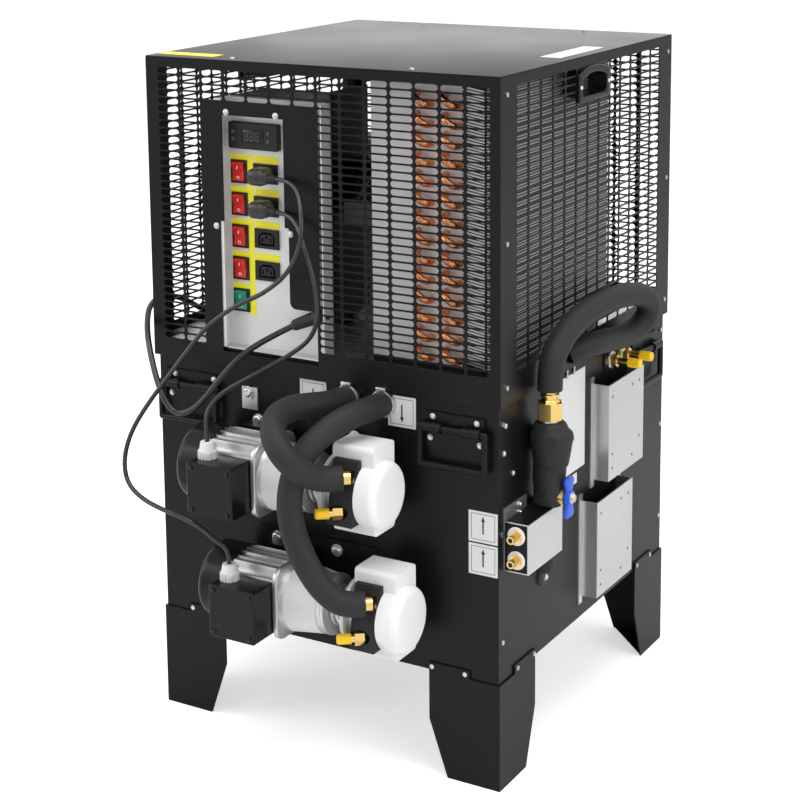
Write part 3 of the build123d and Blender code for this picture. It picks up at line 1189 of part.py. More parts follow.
def mains_coil():
    """Outer shape of the wound spare length of the mains lead."""
    x, y = MAINS_COIL_CENTRE
    half = MAINS * MAINS_COIL_TURNS_WIDE / 2
    outer = Cylinder(MAINS_COIL_MIDDLE / 2 + half, MAINS * MAINS_COIL_TURNS_HIGH, align=LOW)
    inner = Cylinder(MAINS_COIL_MIDDLE / 2 - half, MAINS * MAINS_COIL_TURNS_HIGH, align=LOW)
    return Pos(x, y, 0) * (outer - inner)


def lead_holders():
    """Ribbed strain relief of the mains lead and the clip on the left side."""
    start, end = Vector(*RELIEF_START), Vector(*RELIEF_END)
    toward = end - start
    relief = Plane(origin=start, z_dir=toward) * Cone(7.0, 5.2, toward.length, align=LOW)
    inside = PLATE_RIGHT - SHEET
    relief &= block((-WIDTH, inside), (-DEPTH, 0), (0, HEIGHT))
    first, second = Vector(*CLIP_AFTER), Vector(*CLIP_BEFORE)
    middle = (first + second) / 2
    x, y, z = middle.X, middle.Y, middle.Z
    grow = MAINS / 2 + 2
    clip = block((-WIDTH / 2, x - grow), (y - 6, y + 6), (z - grow, z + grow + 10))
    along = (second - first).normalized()
    hole = Plane(origin=middle - along * 20, z_dir=along) * Cylinder(MAINS / 2 + 0.4, 40, align=LOW)
    return group([relief, clip - hole])


lines = [Shaftline(index) for index in range(2)]
right_side = cover_side(1)
pieces = {
    "cover_top": block((-WIDTH / 2, WIDTH / 2), (-DEPTH / 2, DEPTH / 2), (HEIGHT - SHEET, HEIGHT)),
    "cover_front": cover_front(),
    "cover_back": cover_back(),
    "cover_right": right_side,
    "cover_left": mirror(right_side, about=Plane.YZ),
    "cover_grips": group(mirrored(grip(), Plane.YZ)),
    "casing_front": casing_panel(-1),
    "casing_walls": group([casing_panel(1)] + mirrored(casing_side(), Plane.YZ)),
    "casing_base": casing_base(),
    "deck_plate": deck_plate(),
    "legs": leg_set(),
    "panel_screws": panel_screws(),
    "tank_insulation": tank_insulation(),
    "inner_tank": inner_tank(),
    "evaporator_coil": evaporator_coil(),
    "control_plate": control_plate(),
    "temperature_controller": temperature_controller(),
    "panel_snap_ins": group([switch_frame(place) for place in switch_places()]
                            + [outlet(place) for place in outlet_places()]),
    "condenser_core": condenser_core(),
    "condenser_tubes": condenser_tubes(),
    "condenser_shroud": condenser_shroud(),
    "fan_motor": fan_motor(),
    "fan_blade": fan_blade(),
    "compressor": compressor(),
    "agitator_motor": agitator_motor(),
    "agitator_shaft": agitator_shaft(),
    "pump_motors": group([pump_motor(line) for line in lines]),
    "pump_covers": group([part for line in lines for part in pump_cover_parts(line)]),
    "cable_glands": group([gland(line) for line in lines]),
    "pump_head_foam": group([pump_foam(line) for line in lines]),
    "pump_head_wraps": group([pump_wrap(line) for line in lines]),
    "pump_brackets": group([pump_bracket(line) for line in lines]),
    "pump_rotor_upper": pump_rotor(lines[0]),
    "pump_rotor_lower": pump_rotor(lines[1]),
    "pipe_foam": supply_pipe(),
    "brass_fittings": brass_fittings(),
    "tail_caps": tail_caps(),
    "valve_handle": valve_handle(),
    "bright_brackets": bright_brackets(),
    "lead_holders": lead_holders(),
}
for number, place in enumerate(button_places(), start=1):
    pieces["button_%d" % number] = button(place)
for number, place in enumerate(switch_places(), start=1):
    name = "rocker_power" if number == SWITCH_COUNT else "rocker_pump_%d" % number
    pieces[name] = rocker(place)
plate, ring = handle_plate(), bail()
pieces["handle_plates"] = group([move(plate) for move in handle_places().values()])
for name, move in handle_places().items():
    pieces["bail_" + name] = move(ring)

front_wall = Plane(origin=(0, FRONT, 0), z_dir=(0, -1, 0))
right_wall = Plane(origin=(RIGHT, 0, 0), z_dir=(1, 0, 0))
cords = {
    "pump_hoses": group([hose(HOSE_UPPER, front_wall, "hose_upper"), hose(HOSE_LOWER, front_wall, "hose_lower")]),
    "return_hose": hose(HOSE_SIDE, right_wall, "hose_side"),
    "pump_leads": group([tube(LEAD_UPPER, LEAD, "lead_upper"), tube(LEAD_LOWER, LEAD, "lead_lower")]),
    "mains_lead": tube(MAINS_ROUTE, MAINS, "mains_lead"),
    "mains_coil": mains_coil(),
    "cord_plugs": group(lead_plugs() + [mains_plug()]),
}

# The origin lies under the middle of the object's own outline, cords left aside
boxes = [part.bounding_box() for part in pieces.values()]
middle_x = (min(box.min.X for box in boxes) + max(box.max.X for box in boxes)) / 2
middle_y = (min(box.min.Y for box in boxes) + max(box.max.Y for box in boxes)) / 2
print("cabinet centre stands at", round(-middle_x, 3), round(-middle_y, 3))

os.makedirs("parts", exist_ok=True)
for name, part in {**pieces, **cords}.items():
    export_step(Pos(-middle_x, -middle_y, 0) * part, "parts/%s.step" % name)
print("nodes", len(pieces) + len(cords))
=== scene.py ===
from math import cos, copysign, pi, radians, sin, sqrt

import bpy
from mathutils import Matrix, Vector


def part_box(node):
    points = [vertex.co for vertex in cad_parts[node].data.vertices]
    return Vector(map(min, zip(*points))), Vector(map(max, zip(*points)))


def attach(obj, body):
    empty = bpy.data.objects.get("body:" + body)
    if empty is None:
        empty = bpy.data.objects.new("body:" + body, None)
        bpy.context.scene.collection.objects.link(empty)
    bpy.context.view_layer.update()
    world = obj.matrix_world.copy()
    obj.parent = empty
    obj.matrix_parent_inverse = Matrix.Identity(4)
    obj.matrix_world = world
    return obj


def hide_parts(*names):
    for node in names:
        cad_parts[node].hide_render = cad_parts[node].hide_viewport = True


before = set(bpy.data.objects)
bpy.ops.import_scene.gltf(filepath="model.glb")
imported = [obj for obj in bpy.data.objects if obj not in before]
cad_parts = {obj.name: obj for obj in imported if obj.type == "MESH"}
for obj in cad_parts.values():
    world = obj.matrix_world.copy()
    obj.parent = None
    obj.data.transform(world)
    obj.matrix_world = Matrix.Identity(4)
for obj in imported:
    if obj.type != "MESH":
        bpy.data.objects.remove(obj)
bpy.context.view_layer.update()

# The camera stands where the photograph was taken from, to the right of the front and a little
# above the top. All places are written in millimetres from the middle of the cabinet's plan.
cover_low, cover_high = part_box("cover_top")
cabinet_middle = (cover_low + cover_high) / 2


def place(x, y, z):
    """A point in millimetres from the cabinet's middle, on the floor, as a point of the frame."""
    return Vector((cabinet_middle.x + x / 1000, cabinet_middle.y + y / 1000, z / 1000))


azimuth, elevation, roll = radians(30.848), radians(9.668), radians(-0.652)
backward = Vector((sin(azimuth) * cos(elevation), -cos(azimuth) * cos(elevation), sin(elevation)))
level_right = Vector((cos(azimuth), sin(azimuth), 0))
level_up = backward.cross(level_right)
camera_right = level_right * cos(roll) + level_up * sin(roll)
camera_up = level_up * cos(roll) - level_right * sin(roll)
bpy.ops.object.select_all(action="DESELECT")
bpy.ops.object.camera_add()
camera = bpy.context.object
camera.matrix_world = Matrix((
    (camera_right.x, camera_up.x, backward.x, 0),
    (camera_right.y, camera_up.y, backward.y, 0),
    (camera_right.z, camera_up.z, backward.z, 0),
    (0, 0, 0, 1)))
camera.location = place(1232.66, -2176.70, 1172.93)
camera.data.lens = 83.28
camera.data.sensor_width = 36
camera.data.shift_x = 0.0289
camera.data.shift_y = -0.3052
bpy.context.scene.camera = camera

# The hoses carry cold coolant, so each is a tube inside a split sleeve of soft black foam.
# Two go from the pump heads into the front wall, one from the supply pipe into the right wall.


def cured(name, colour, second, rough, scale, bump, metallic=0.0, specular=0.5, detail=4.0):
    """A finish with a slow drift between two tones and a fine relief, fixed to the object."""
    made = bpy.data.materials.new(name)
    made.use_nodes = True
    nodes, links = made.node_tree.nodes, made.node_tree.links
    shader = nodes["Principled BSDF"]
    shader.inputs["Metallic"].default_value = metallic
    shader.inputs["Specular IOR Level"].default_value = specular
    where = nodes.new("ShaderNodeTexCoord")
    drift = nodes.new("ShaderNodeTexNoise")
    drift.inputs["Scale"].default_value = 7.0
    drift.inputs["Detail"].default_value = detail
    grain = nodes.new("ShaderNodeTexNoise")
    grain.inputs["Scale"].default_value = scale
    grain.inputs["Detail"].default_value = detail
    mix = nodes.new("ShaderNodeMix")
    mix.data_type = "RGBA"
    mix.inputs["A"].default_value = (*colour, 1)
    mix.inputs["B"].default_value = (*second, 1)
    spread = nodes.new("ShaderNodeMapRange")
    spread.inputs["To Min"].default_value = rough - 0.06
    spread.inputs["To Max"].default_value = rough + 0.08
    relief = nodes.new("ShaderNodeBump")
    relief.inputs["Strength"].default_value = bump
    relief.inputs["Distance"].default_value = 0.0004
    for texture in (drift, grain):
        links.new(where.outputs["Object"], texture.inputs["Vector"])
    links.new(drift.outputs["Fac"], mix.inputs["Factor"])
    links.new(drift.outputs["Fac"], spread.inputs["Value"])
    links.new(mix.outputs["Result"], shader.inputs["Base Color"])
    links.new(spread.outputs["Result"], shader.inputs["Roughness"])
    links.new(grain.outputs["Fac"], relief.inputs["Height"])
    links.new(relief.outputs["Normal"], shader.inputs["Normal"])
    return made


def laid_line(name, points, diameter, material, *nodes):
    """A round line along smooth route points in millimetres, riding with the cabinet."""
    line = bpy.data.curves.new(name, "CURVE")
    line.dimensions = "3D"
    line.bevel_depth = diameter / 2000
    line.bevel_resolution = 6
    line.resolution_u = 10
    line.use_fill_caps = True
    spline = line.splines.new("NURBS")
    spline.points.add(len(points) - 1)
    for knot, point in zip(spline.points, points):
        knot.co = (*place(*point), 1)
    spline.order_u = 3
    spline.use_endpoint_u = True
    line.materials.append(material)
    laid = bpy.data.objects.new(name, line)
    bpy.context.scene.collection.objects.link(laid)
    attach(laid, "cabinet")
    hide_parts(*nodes)
    return laid


HOSE_DIAMETER = 32
PUMP_TURN = radians(38)
NIPPLE_UPPER = (94.64, -360.85, 412)
NIPPLE_LOWER = (123.64, -360.85, 257)
hose_foam = cured("hose_foam", (0.012, 0.012, 0.013), (0.03, 0.03, 0.032), 0.62, 900, 0.5, specular=0.3)
upper_route = [NIPPLE_UPPER, (74.15, -376.86, 412), (66, -408, 429), (53, -430, 455), (33, -420, 476),
               (20, -394, 487), (20, -362, 490), (31, -328, 486), (41, -296, 481), (43.8, -260, 480)]
lower_route = [(94.8, -260, 480), (97, -288, 481), (88, -318, 481), (73, -345, 471), (60, -370, 456),
               (51, -389, 437), (46, -400, 411), (44, -403, 382), (48, -402, 352), (58, -400, 323),
               (72, -396, 295), (88, -388, 272), (104.7, -375.6, 257), NIPPLE_LOWER]
side_route = [(279, -168, 499), (279, -168, 522), (280, -157, 545), (281, -128, 562), (282, -92, 573),
              (285, -46, 579), (289, 0, 580), (293, 40, 577), (296, 74, 570), (297, 102, 558),
              (294, 114, 537), (285, 105, 518), (279, 78, 511), (277, 44, 514), (276, 8, 519),
              (275, -24, 523), (270, -48, 524), (263, -60, 522), (256, -66, 518)]
hose_upper = laid_line("hose_upper", upper_route, HOSE_DIAMETER, hose_foam, "pump_hoses")
hose_lower = laid_line("hose_lower", lower_route, HOSE_DIAMETER, hose_foam, "pump_hoses")
hose_side = laid_line("hose_side", side_route, HOSE_DIAMETER, hose_foam, "return_hose")

# The leads are round cables in smooth black sheath: one from each motor's gland to its plug in
# the control recess, and the mains lead, whose spare length lies in a coil behind the cabinet.
LEAD_DIAMETER = 6
MAINS_DIAMETER = 8
sheath = cured("cable_sheath", (0.012, 0.012, 0.013), (0.022, 0.022, 0.024), 0.27, 500, 0.1)
PLUG_Y = -269.5
UPPER_PLUG, LOWER_PLUG = 753.0, 710.3
WALL_PLUG_Y = 384
upper_lead_route = [(-90, -383, 436), (-90, -383, 450), (-94, -379, 471), (-86, -362, 491), (-69, -341, 504),
                    (-46, -320, 518), (-19, -301, 536), (5, -291, 556), (18, -292, 581), (21, -296, 612),
                    (14, -296, 645), (1, -292, 675), (-16, -280, 697),
                    (-38, PLUG_Y, LOWER_PLUG), (-58, PLUG_Y, LOWER_PLUG)]
lower_lead_route = [(-61, -383, 281), (-61, -383, 299), (-75, -391, 311), (-94, -397, 328), (-124, -399, 337),
                    (-160, -397, 341), (-193, -392, 348), (-218, -386, 362), (-228, -378, 389),
                    (-223, -368, 423), (-204, -355, 460), (-177, -341, 500), (-153, -330, 535),
                    (-132, -325, 562), (-108, -320, 582), (-82, -317, 599), (-50, -314, 614),
                    (-20, -312, 637), (-3, -310, 660), (6, -306, 690), (1, -298, 722), (-15, -281, 744),
                    (-38, PLUG_Y, UPPER_PLUG), (-58, PLUG_Y, UPPER_PLUG)]
mains_route = [(-40, -259, 562), (-68, -277, 546), (-94, -299, 526), (-114, -314, 500), (-135, -324, 469),
               (-157, -327, 448), (-182, -328, 442), (-201, -328, 464), (-221, -317, 490), (-245, -298, 525),
               (-266, -272, 543), (-284, -242, 557), (-288, -206, 563), (-280, -172, 551),
               (-268, -134, 524), (-266, -84, 494), (-270, -44, 440), (-274, -14, 388), (-277, 16, 332),
               (-279, 48, 274), (-280, 84, 216), (-279, 122, 162), (-276, 162, 112), (-271, 204, 66),
               (-265, 246, 30), (-257, 286, 9), (-246, 318, 4)]
COIL_MIDDLE = (-196, 335)
COIL_REACH = 49
COIL_TURNS = 4
TURN_STEPS = 16
for step in range(1, COIL_TURNS * TURN_STEPS + 5):
    turn = step / TURN_STEPS
    angle = radians(180 - 360 * turn)
    if turn < 2:
        inner = min(1, max(0, (turn - 0.9) / 0.2))
    else:
        inner = 1 - min(1, max(0, (turn - 2.9) / 0.2))
    reach = COIL_REACH - MAINS_DIAMETER * inner
    rise = 4 + MAINS_DIAMETER * min(1, max(0, (turn - 1.9) / 0.2))
    mains_route.append((COIL_MIDDLE[0] + reach * cos(angle), COIL_MIDDLE[1] + reach * sin(angle), rise))
mains_route += [(x, WALL_PLUG_Y, 12) for x in (-178, -160, -140, -123)]
lead_upper = laid_line("lead_upper", upper_lead_route, LEAD_DIAMETER, sheath, "pump_leads")
lead_lower = laid_line("lead_lower", lower_lead_route, LEAD_DIAMETER, sheath, "pump_leads")
mains_cable = laid_line("mains_cable", mains_route, MAINS_DIAMETER, sheath, "mains_lead", "mains_coil")

# Right-angle plugs sit in the two upper outlets: a flat moulded body and a ribbed boot that
# points to the right. The wall plug has a rounded grip, a tapered boot and two round pins.
PLUG_BODY = ((-98, -71), (-277.5, -245.6))


def block(x, y, z):
    """A cuboid between two x, two y and two z values in millimetres, ready for shaping."""
    bpy.ops.object.select_all(action="DESELECT")
    bpy.ops.mesh.primitive_cube_add(size=1)
    made = bpy.context.object
    made.scale = (abs(x[1] - x[0]) / 1000, abs(y[1] - y[0]) / 1000, abs(z[1] - z[0]) / 1000)
    made.location = place((x[0] + x[1]) / 2, (y[0] + y[1]) / 2, (z[0] + z[1]) / 2)
    bpy.ops.object.transform_apply(location=True, rotation=True, scale=True)
    return made


def bar(start, toward, radius, length, sides=32, tip=None):
    """A round or many-sided bar or taper from a point in millimetres along a direction."""
    bpy.ops.object.select_all(action="DESELECT")
    bpy.ops.mesh.primitive_cone_add(vertices=sides, radius1=radius / 1000,
                                    radius2=(radius if tip is None else tip) / 1000, depth=length / 1000)
    made = bpy.context.object
    heading = Vector(toward).normalized()
    made.rotation_euler = heading.to_track_quat("Z", "Y").to_euler()
    made.location = place(*start) + heading * length / 2000
    bpy.ops.object.transform_apply(location=True, rotation=True, scale=True)
    return made


def joined(parts):
    """Joins meshes into the first of them."""
    bpy.ops.object.select_all(action="DESELECT")
    for part in parts:
        part.select_set(True)
    bpy.context.view_layer.objects.active = parts[0]
    if len(parts) > 1:
        bpy.ops.object.join()
    return bpy.context.object


def rounded(part, width, segments=3, angle=35):
    """Rounds every edge sharper than the angle by the width in millimetres."""
    bpy.ops.object.select_all(action="DESELECT")
    part.select_set(True)
    bpy.context.view_layer.objects.active = part
    edge = part.modifiers.new("edge", "BEVEL")
    edge.width = width / 1000
    edge.segments = segments
    edge.limit_method = "ANGLE"
    edge.angle_limit = radians(angle)
    bpy.ops.object.modifier_apply(modifier=edge.name)
    bpy.ops.object.shade_smooth_by_angle(angle=radians(40))
    return part


def fitted(part, name, material, body, slot, *nodes):
    """Names a finished piece, gives it its finish, hangs it on its body and hides the nodes it replaces."""
    part.name = name
    part.data.name = name
    part.data.materials.clear()
    part.data.materials.append(material)
    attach(part, body)
    if nodes:
        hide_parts(*nodes)
    return part


plug_moulding = cured("plug_moulding", (0.014, 0.014, 0.015), (0.026, 0.026, 0.028), 0.33, 700, 0.2)
for title, level in (("plug_upper", UPPER_PLUG), ("plug_lower", LOWER_PLUG)):
    body = rounded(block(PLUG_BODY[0], PLUG_BODY[1], (level - 11, level + 11)), 8, 5)
    shoulder = rounded(block((-80, -66), (-277, -262), (level - 8, level + 8)), 3, 3)
    ribs = [bar((-68 + 2.4 * index, PLUG_Y, level), (1, 0, 0), 6.6 - 0.5 * index, 1.5, 20)
            for index in range(5)]
    core = bar((-70, PLUG_Y, level), (1, 0, 0), 5.2, 13, 20, 3.6)
    plug = joined([body, shoulder, core] + ribs)
    fitted(plug, title, plug_moulding, "cabinet", "cord_plugs", "cord_plugs")
grip = rounded(block((-122, -80), (365, 403), (0.2, 28)), 8, 4)
boot = bar((-146, WALL_PLUG_Y, 12), (1, 0, 0), 4.6, 26, 20, 8)
rings = [bar((-142 + 4 * index, WALL_PLUG_Y, 12), (1, 0, 0), 5.8 + 0.6 * index, 1.8, 20)
         for index in range(5)]
pins = [rounded(bar((-80.5, WALL_PLUG_Y + side, 14), (1, 0, 0), 2.4, 19, 20), 0.8, 2)
        for side in (-9.5, 9.5)]
wall_plug = fitted(joined([grip, boot] + rings + pins), "wall_plug", plug_moulding, "cabinet", "cord_plugs",
                   "cord_plugs")

# The ribbed strain relief of the mains lead is moulded rubber, and a plastic clip on the left
# side keeps the lead against the cover.
relief_start, relief_end = Vector((8, -253.5, 583)), Vector((-40, -259, 562))
relief_way = relief_end - relief_start
relief_parts = [bar(relief_start, relief_way, 8.4, relief_way.length, 32, 6.4)]
for index in range(9):
    spot = relief_start + relief_way * (0.42 + 0.062 * index)
    relief_parts.append(bar(spot, relief_way, 8.7 - 0.16 * index, 1.7, 32))
rubber = cured("relief_rubber", (0.016, 0.016, 0.017), (0.03, 0.03, 0.032), 0.5, 600, 0.3)
relief = rounded(joined(relief_parts), 0.3, 2)
fitted(relief, "mains_relief", rubber, "cabinet", "lead_holders", "lead_holders")
clip_saddle = rounded(block((-273, -260.1), (-115, -103), (503, 525)), 1.5, 2)
fitted(clip_saddle, "lead_clip", rubber, "cabinet", "lead_holders", "lead_holders")

# The lower body, base and folded corner legs are steel sheet, cut, folded and riveted, with a black
# satin powder coat. The brackets that carry the pumps have the same coat.
powder = cured("black_powder_coat", (0.0045, 0.0045, 0.005), (0.0065, 0.0065, 0.007), 0.33, 1400, 0.2,
               specular=0.2)


def dressed(node, material):
    """Gives a CAD node its finish."""
    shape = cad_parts[node]
    shape.data.materials.clear()
    shape.data.materials.append(material)
    return shape


for node in ("casing_front", "casing_walls", "casing_base", "legs", "pump_brackets"):
    dressed(node, powder)

# Screws, bolts and rivets are zinc plated steel with a domed head on a thin washer. One is modelled
# and each place gets a copy of it, in its own size.
zinc = cured("bright_zinc", (0.62, 0.62, 0.6), (0.75, 0.75, 0.73), 0.3, 500, 0.1, metallic=1.0)
bolt_pattern = joined([bar((0, 0, 0), (0, 0, 1), 1.3, 0.25, 24),
                       rounded(bar((0, 0, 0.2), (0, 0, 1), 1, 0.75, 24), 0.6, 4)])
bolt_pattern.name = "bolt_pattern"
bolt_pattern.data.transform(Matrix.Translation(-place(0, 0, 0)))


def bolts(name, slot, radius, toward, spots, material):
    """Domed screw heads of one radius at spots in millimetres, all facing one way."""
    heads = []
    facing = Vector(toward).to_track_quat("Z", "Y").to_matrix().to_4x4()
    for spot in spots:
        head = bolt_pattern.copy()
        head.data = bolt_pattern.data.copy()
        bpy.context.scene.collection.objects.link(head)
        head.matrix_world = Matrix.Translation(place(*spot)) @ facing @ Matrix.Scale(radius, 4)
        heads.append(head)
    whole = joined(heads)
    bpy.ops.object.transform_apply(location=True, rotation=True, scale=True)
    return fitted(whole, name, material, "cabinet", slot)


def cut_plate(outlines, thickness, spot, side=1):
    """An upright plate facing right or left, from closed outlines of y and z in millimetres."""
    rings = []
    for outline in outlines:
        bpy.ops.object.select_all(action="DESELECT")
        bpy.ops.mesh.primitive_circle_add(vertices=len(outline))
        ring = bpy.context.object
        for corner_point, (across, up) in zip(ring.data.vertices, outline):
            corner_point.co = (side * across / 1000, up / 1000, 0)
        rings.append(ring)
    plate = joined(rings)
    bpy.ops.object.mode_set(mode="EDIT")
    bpy.ops.mesh.select_all(action="SELECT")
    bpy.ops.mesh.fill(use_beauty=True)
    bpy.ops.object.mode_set(mode="OBJECT")
    if plate.data.polygons[0].normal.z < 0:
        bpy.ops.object.mode_set(mode="EDIT")
        bpy.ops.mesh.select_all(action="SELECT")
        bpy.ops.mesh.flip_normals()
        bpy.ops.object.mode_set(mode="OBJECT")
    wall = plate.modifiers.new("wall", "SOLIDIFY")
    wall.thickness = thickness / 1000
    wall.offset = 1
    bpy.ops.object.modifier_apply(modifier=wall.name)
    plate.matrix_world = Matrix.Translation(place(*spot)) @ Matrix((
        (0, 0, side, 0), (side, 0, 0, 0), (0, 1, 0, 0), (0, 0, 0, 1)))
    bpy.ops.object.transform_apply(location=True, rotation=True, scale=True)
    return plate


# The ventilated cover is five sheets of 1.5 mm steel, powder coated black. The upright sheets
# are punched with rows of round-ended slots and folded inwards at their edges. The front sheet
# leaves a window, wider at its foot, for the control plate, and each side sheet one for its grip.
SLOT = (32.0, 8.0)
COLUMN = 35.0
ROW = 10.15
SHEET = 1.5
FIELD_TOP = 887.1
SLOT_SIDES = 20


def slotted_field(columns, rows, pitch, turned, corner):
    """A field of punched slots from its upper left corner, turned about the upright."""
    bpy.ops.object.select_all(action="DESELECT")
    bpy.ops.mesh.primitive_circle_add(vertices=SLOT_SIDES, radius=SLOT[1] / 2000,
                                      rotation=(0, 0, pi / SLOT_SIDES))
    bpy.ops.object.transform_apply(rotation=True)
    ring = bpy.context.object
    for corner_point in ring.data.vertices:
        corner_point.co.x += copysign((SLOT[0] - SLOT[1]) / 2000, corner_point.co.x)
    bpy.ops.mesh.primitive_plane_add(size=1)
    tile = bpy.context.object
    tile.scale = (pitch / 1000, ROW / 1000, 1)
    bpy.ops.object.transform_apply(scale=True)
    bpy.ops.object.mode_set(mode="EDIT")
    bpy.ops.mesh.select_all(action="SELECT")
    bpy.ops.mesh.delete(type="ONLY_FACE")
    bpy.ops.object.mode_set(mode="OBJECT")
    field = joined([tile, ring])
    bpy.ops.object.mode_set(mode="EDIT")
    bpy.ops.mesh.select_all(action="SELECT")
    bpy.ops.mesh.fill(use_beauty=True)
    bpy.ops.mesh.normals_make_consistent(inside=False)
    bpy.ops.object.mode_set(mode="OBJECT")
    if field.data.polygons[0].normal.z < 0:
        bpy.ops.object.mode_set(mode="EDIT")
        bpy.ops.mesh.select_all(action="SELECT")
        bpy.ops.mesh.flip_normals()
        bpy.ops.object.mode_set(mode="OBJECT")
    for count, step in ((columns, (pitch / 1000, 0, 0)), (rows, (0, -ROW / 1000, 0))):
        repeat = field.modifiers.new("repeat", "ARRAY")
        repeat.count = count
        repeat.use_relative_offset = False
        repeat.use_constant_offset = True
        repeat.constant_offset_displace = step
        repeat.use_merge_vertices = True
        repeat.merge_threshold = 0.00002
        bpy.ops.object.modifier_apply(modifier=repeat.name)
    wall = field.modifiers.new("wall", "SOLIDIFY")
    wall.thickness = SHEET / 1000
    wall.offset = -1
    bpy.ops.object.modifier_apply(modifier=wall.name)
    field.rotation_euler = (pi / 2, 0, turned)
    along = Vector((cos(turned), sin(turned), 0))
    field.location = place(*corner) + along * pitch / 2000 - Vector((0, 0, ROW / 2000))
    bpy.ops.object.transform_apply(location=True, rotation=True, scale=True)
    return field


front = (-265.0, -263.5)
lower, upper = 497.0, 898.4
LEFT_FIELD, TOP_FIELD, RIGHT_FIELD, FIELDS_END = -242.5, -172.5, 2.5, 247.5
WINDOW_FOOT, WINDOW_SHOULDER, WINDOW_NECK, WINDOW_TOP = 516, 585.5, 690, 829
strips = [
    ((-260, LEFT_FIELD), (lower, upper)), ((LEFT_FIELD, FIELDS_END), (FIELD_TOP, upper)),
    ((FIELDS_END, 260), (lower, upper)), ((LEFT_FIELD, TOP_FIELD), (lower, FIELD_TOP - 36 * ROW)),
    ((RIGHT_FIELD, FIELDS_END), (lower, FIELD_TOP - 35 * ROW)),
    ((TOP_FIELD, RIGHT_FIELD), (WINDOW_TOP, FIELD_TOP - 4 * ROW)),
    ((TOP_FIELD, -146.5), (lower, WINDOW_NECK)), ((TOP_FIELD, -140.5), (WINDOW_NECK, WINDOW_TOP)),
    ((-46.5, RIGHT_FIELD), (WINDOW_NECK, WINDOW_TOP)),
    ((0.7, RIGHT_FIELD), (WINDOW_FOOT, WINDOW_SHOULDER)), ((-146.5, RIGHT_FIELD), (lower, WINDOW_FOOT)),
]
sheets = [block(x, front, z) for x, z in strips]
foot = block((-40.5, RIGHT_FIELD), front, (WINDOW_SHOULDER, WINDOW_NECK))
foot_corner = place(-40.5, 0, WINDOW_SHOULDER)
bpy.ops.object.mode_set(mode="EDIT")
bpy.ops.mesh.select_mode(type="EDGE")
bpy.ops.mesh.select_all(action="DESELECT")
bpy.ops.object.mode_set(mode="OBJECT")
for edge in foot.data.edges:
    ends = [foot.data.vertices[index].co for index in edge.vertices]
    edge.select = all(abs(end.x - foot_corner.x) < 0.0001 and abs(end.z - foot_corner.z) < 0.0001
                      for end in ends)
bpy.ops.object.mode_set(mode="EDIT")
bpy.ops.mesh.bevel(offset=0.0095, segments=8, affect="EDGES")
bpy.ops.object.mode_set(mode="OBJECT")
sheets.append(foot)
FOLD_FOOT = 522
returns = [block((side * 257, side * 258.5), (-263.5, -238.5), (FOLD_FOOT, upper)) for side in (-1, 1)]
returns += [block((-258.5, 258.5), (-263.5, -239), (897, upper))]
returns += [block((side * 236.5, side * 258.5), (-263.5, -238.5), (FOLD_FOOT, FOLD_FOOT + SHEET))
            for side in (-1, 1)]
fields = [slotted_field(2, 36, COLUMN, 0, (LEFT_FIELD, -265, FIELD_TOP)),
          slotted_field(5, 4, COLUMN, 0, (TOP_FIELD, -265, FIELD_TOP)),
          slotted_field(7, 35, COLUMN, 0, (RIGHT_FIELD, -265, FIELD_TOP))]
front_sheet = joined(sheets + returns + fields)
fitted(front_sheet, "cover_front_sheet", powder, "cabinet", "cover_front", "cover_front")
bolts("cutout_screws", "cover_front", 3.4, (0, -1, 0),
      [(-152, -265, 683), (-38, -265, 683), (-133, -265, 832.8), (-57, -265, 832.8)], zinc)

back = (263.5, 265.0)
sheets = [block((-260, -245), back, (lower, upper)), block((245, 260), back, (lower, upper)),
          block((-245, 245), back, (FIELD_TOP, upper)),
          block((-245, 245), back, (lower, FIELD_TOP - 35 * ROW))]
sheets += [block((side * 257, side * 258.5), (263.5, 238.5), (FOLD_FOOT, upper)) for side in (-1, 1)]
sheets.append(slotted_field(14, 35, COLUMN, pi, (245, 265, FIELD_TOP)))
fitted(joined(sheets), "cover_back_sheet", powder, "cabinet", "cover_back", "cover_back")

SIDE_PITCH = 34.4
SIDE_EDGE = 13 * SIDE_PITCH / 2
for side, title in ((1, "right"), (-1, "left")):
    wall = (side * 258.5, side * 260.0)
    sheets = [block(wall, (-263.5, -SIDE_EDGE), (lower, upper)),
              block(wall, (SIDE_EDGE, 263.5), (lower, upper)),
              block(wall, (-SIDE_EDGE, SIDE_EDGE), (FIELD_TOP, upper)),
              block(wall, (-SIDE_EDGE, SIDE_EDGE), (lower, FIELD_TOP - 35 * ROW))]
    turned = pi / 2 if side == 1 else -pi / 2
    field = slotted_field(13, 35, SIDE_PITCH, turned, (side * 260, -side * SIDE_EDGE, FIELD_TOP))
    window = block((side * 240, side * 280), (-43.6, 36.6), (845.3, 880))
    cut = field.modifiers.new("grip_window", "BOOLEAN")
    cut.object = window
    cut.operation = "DIFFERENCE"
    bpy.context.view_layer.objects.active = field
    bpy.ops.object.modifier_apply(modifier=cut.name)
    bpy.data.objects.remove(window)
    fitted(joined(sheets + [field]), "cover_%s_sheet" % title, powder, "cabinet", "cover_" + title,
           "cover_" + title)

lid = rounded(block((-260, 260), (-265, 265), (898.5, 900)), 0.7, 2)
fitted(lid, "cover_lid", powder, "cabinet", "cover_top", "cover_top")

# The cover's sheets are held to the body and to each other by bright zinc screws with domed heads,
# in rows along the folded edges.
dressed("panel_screws", zinc)

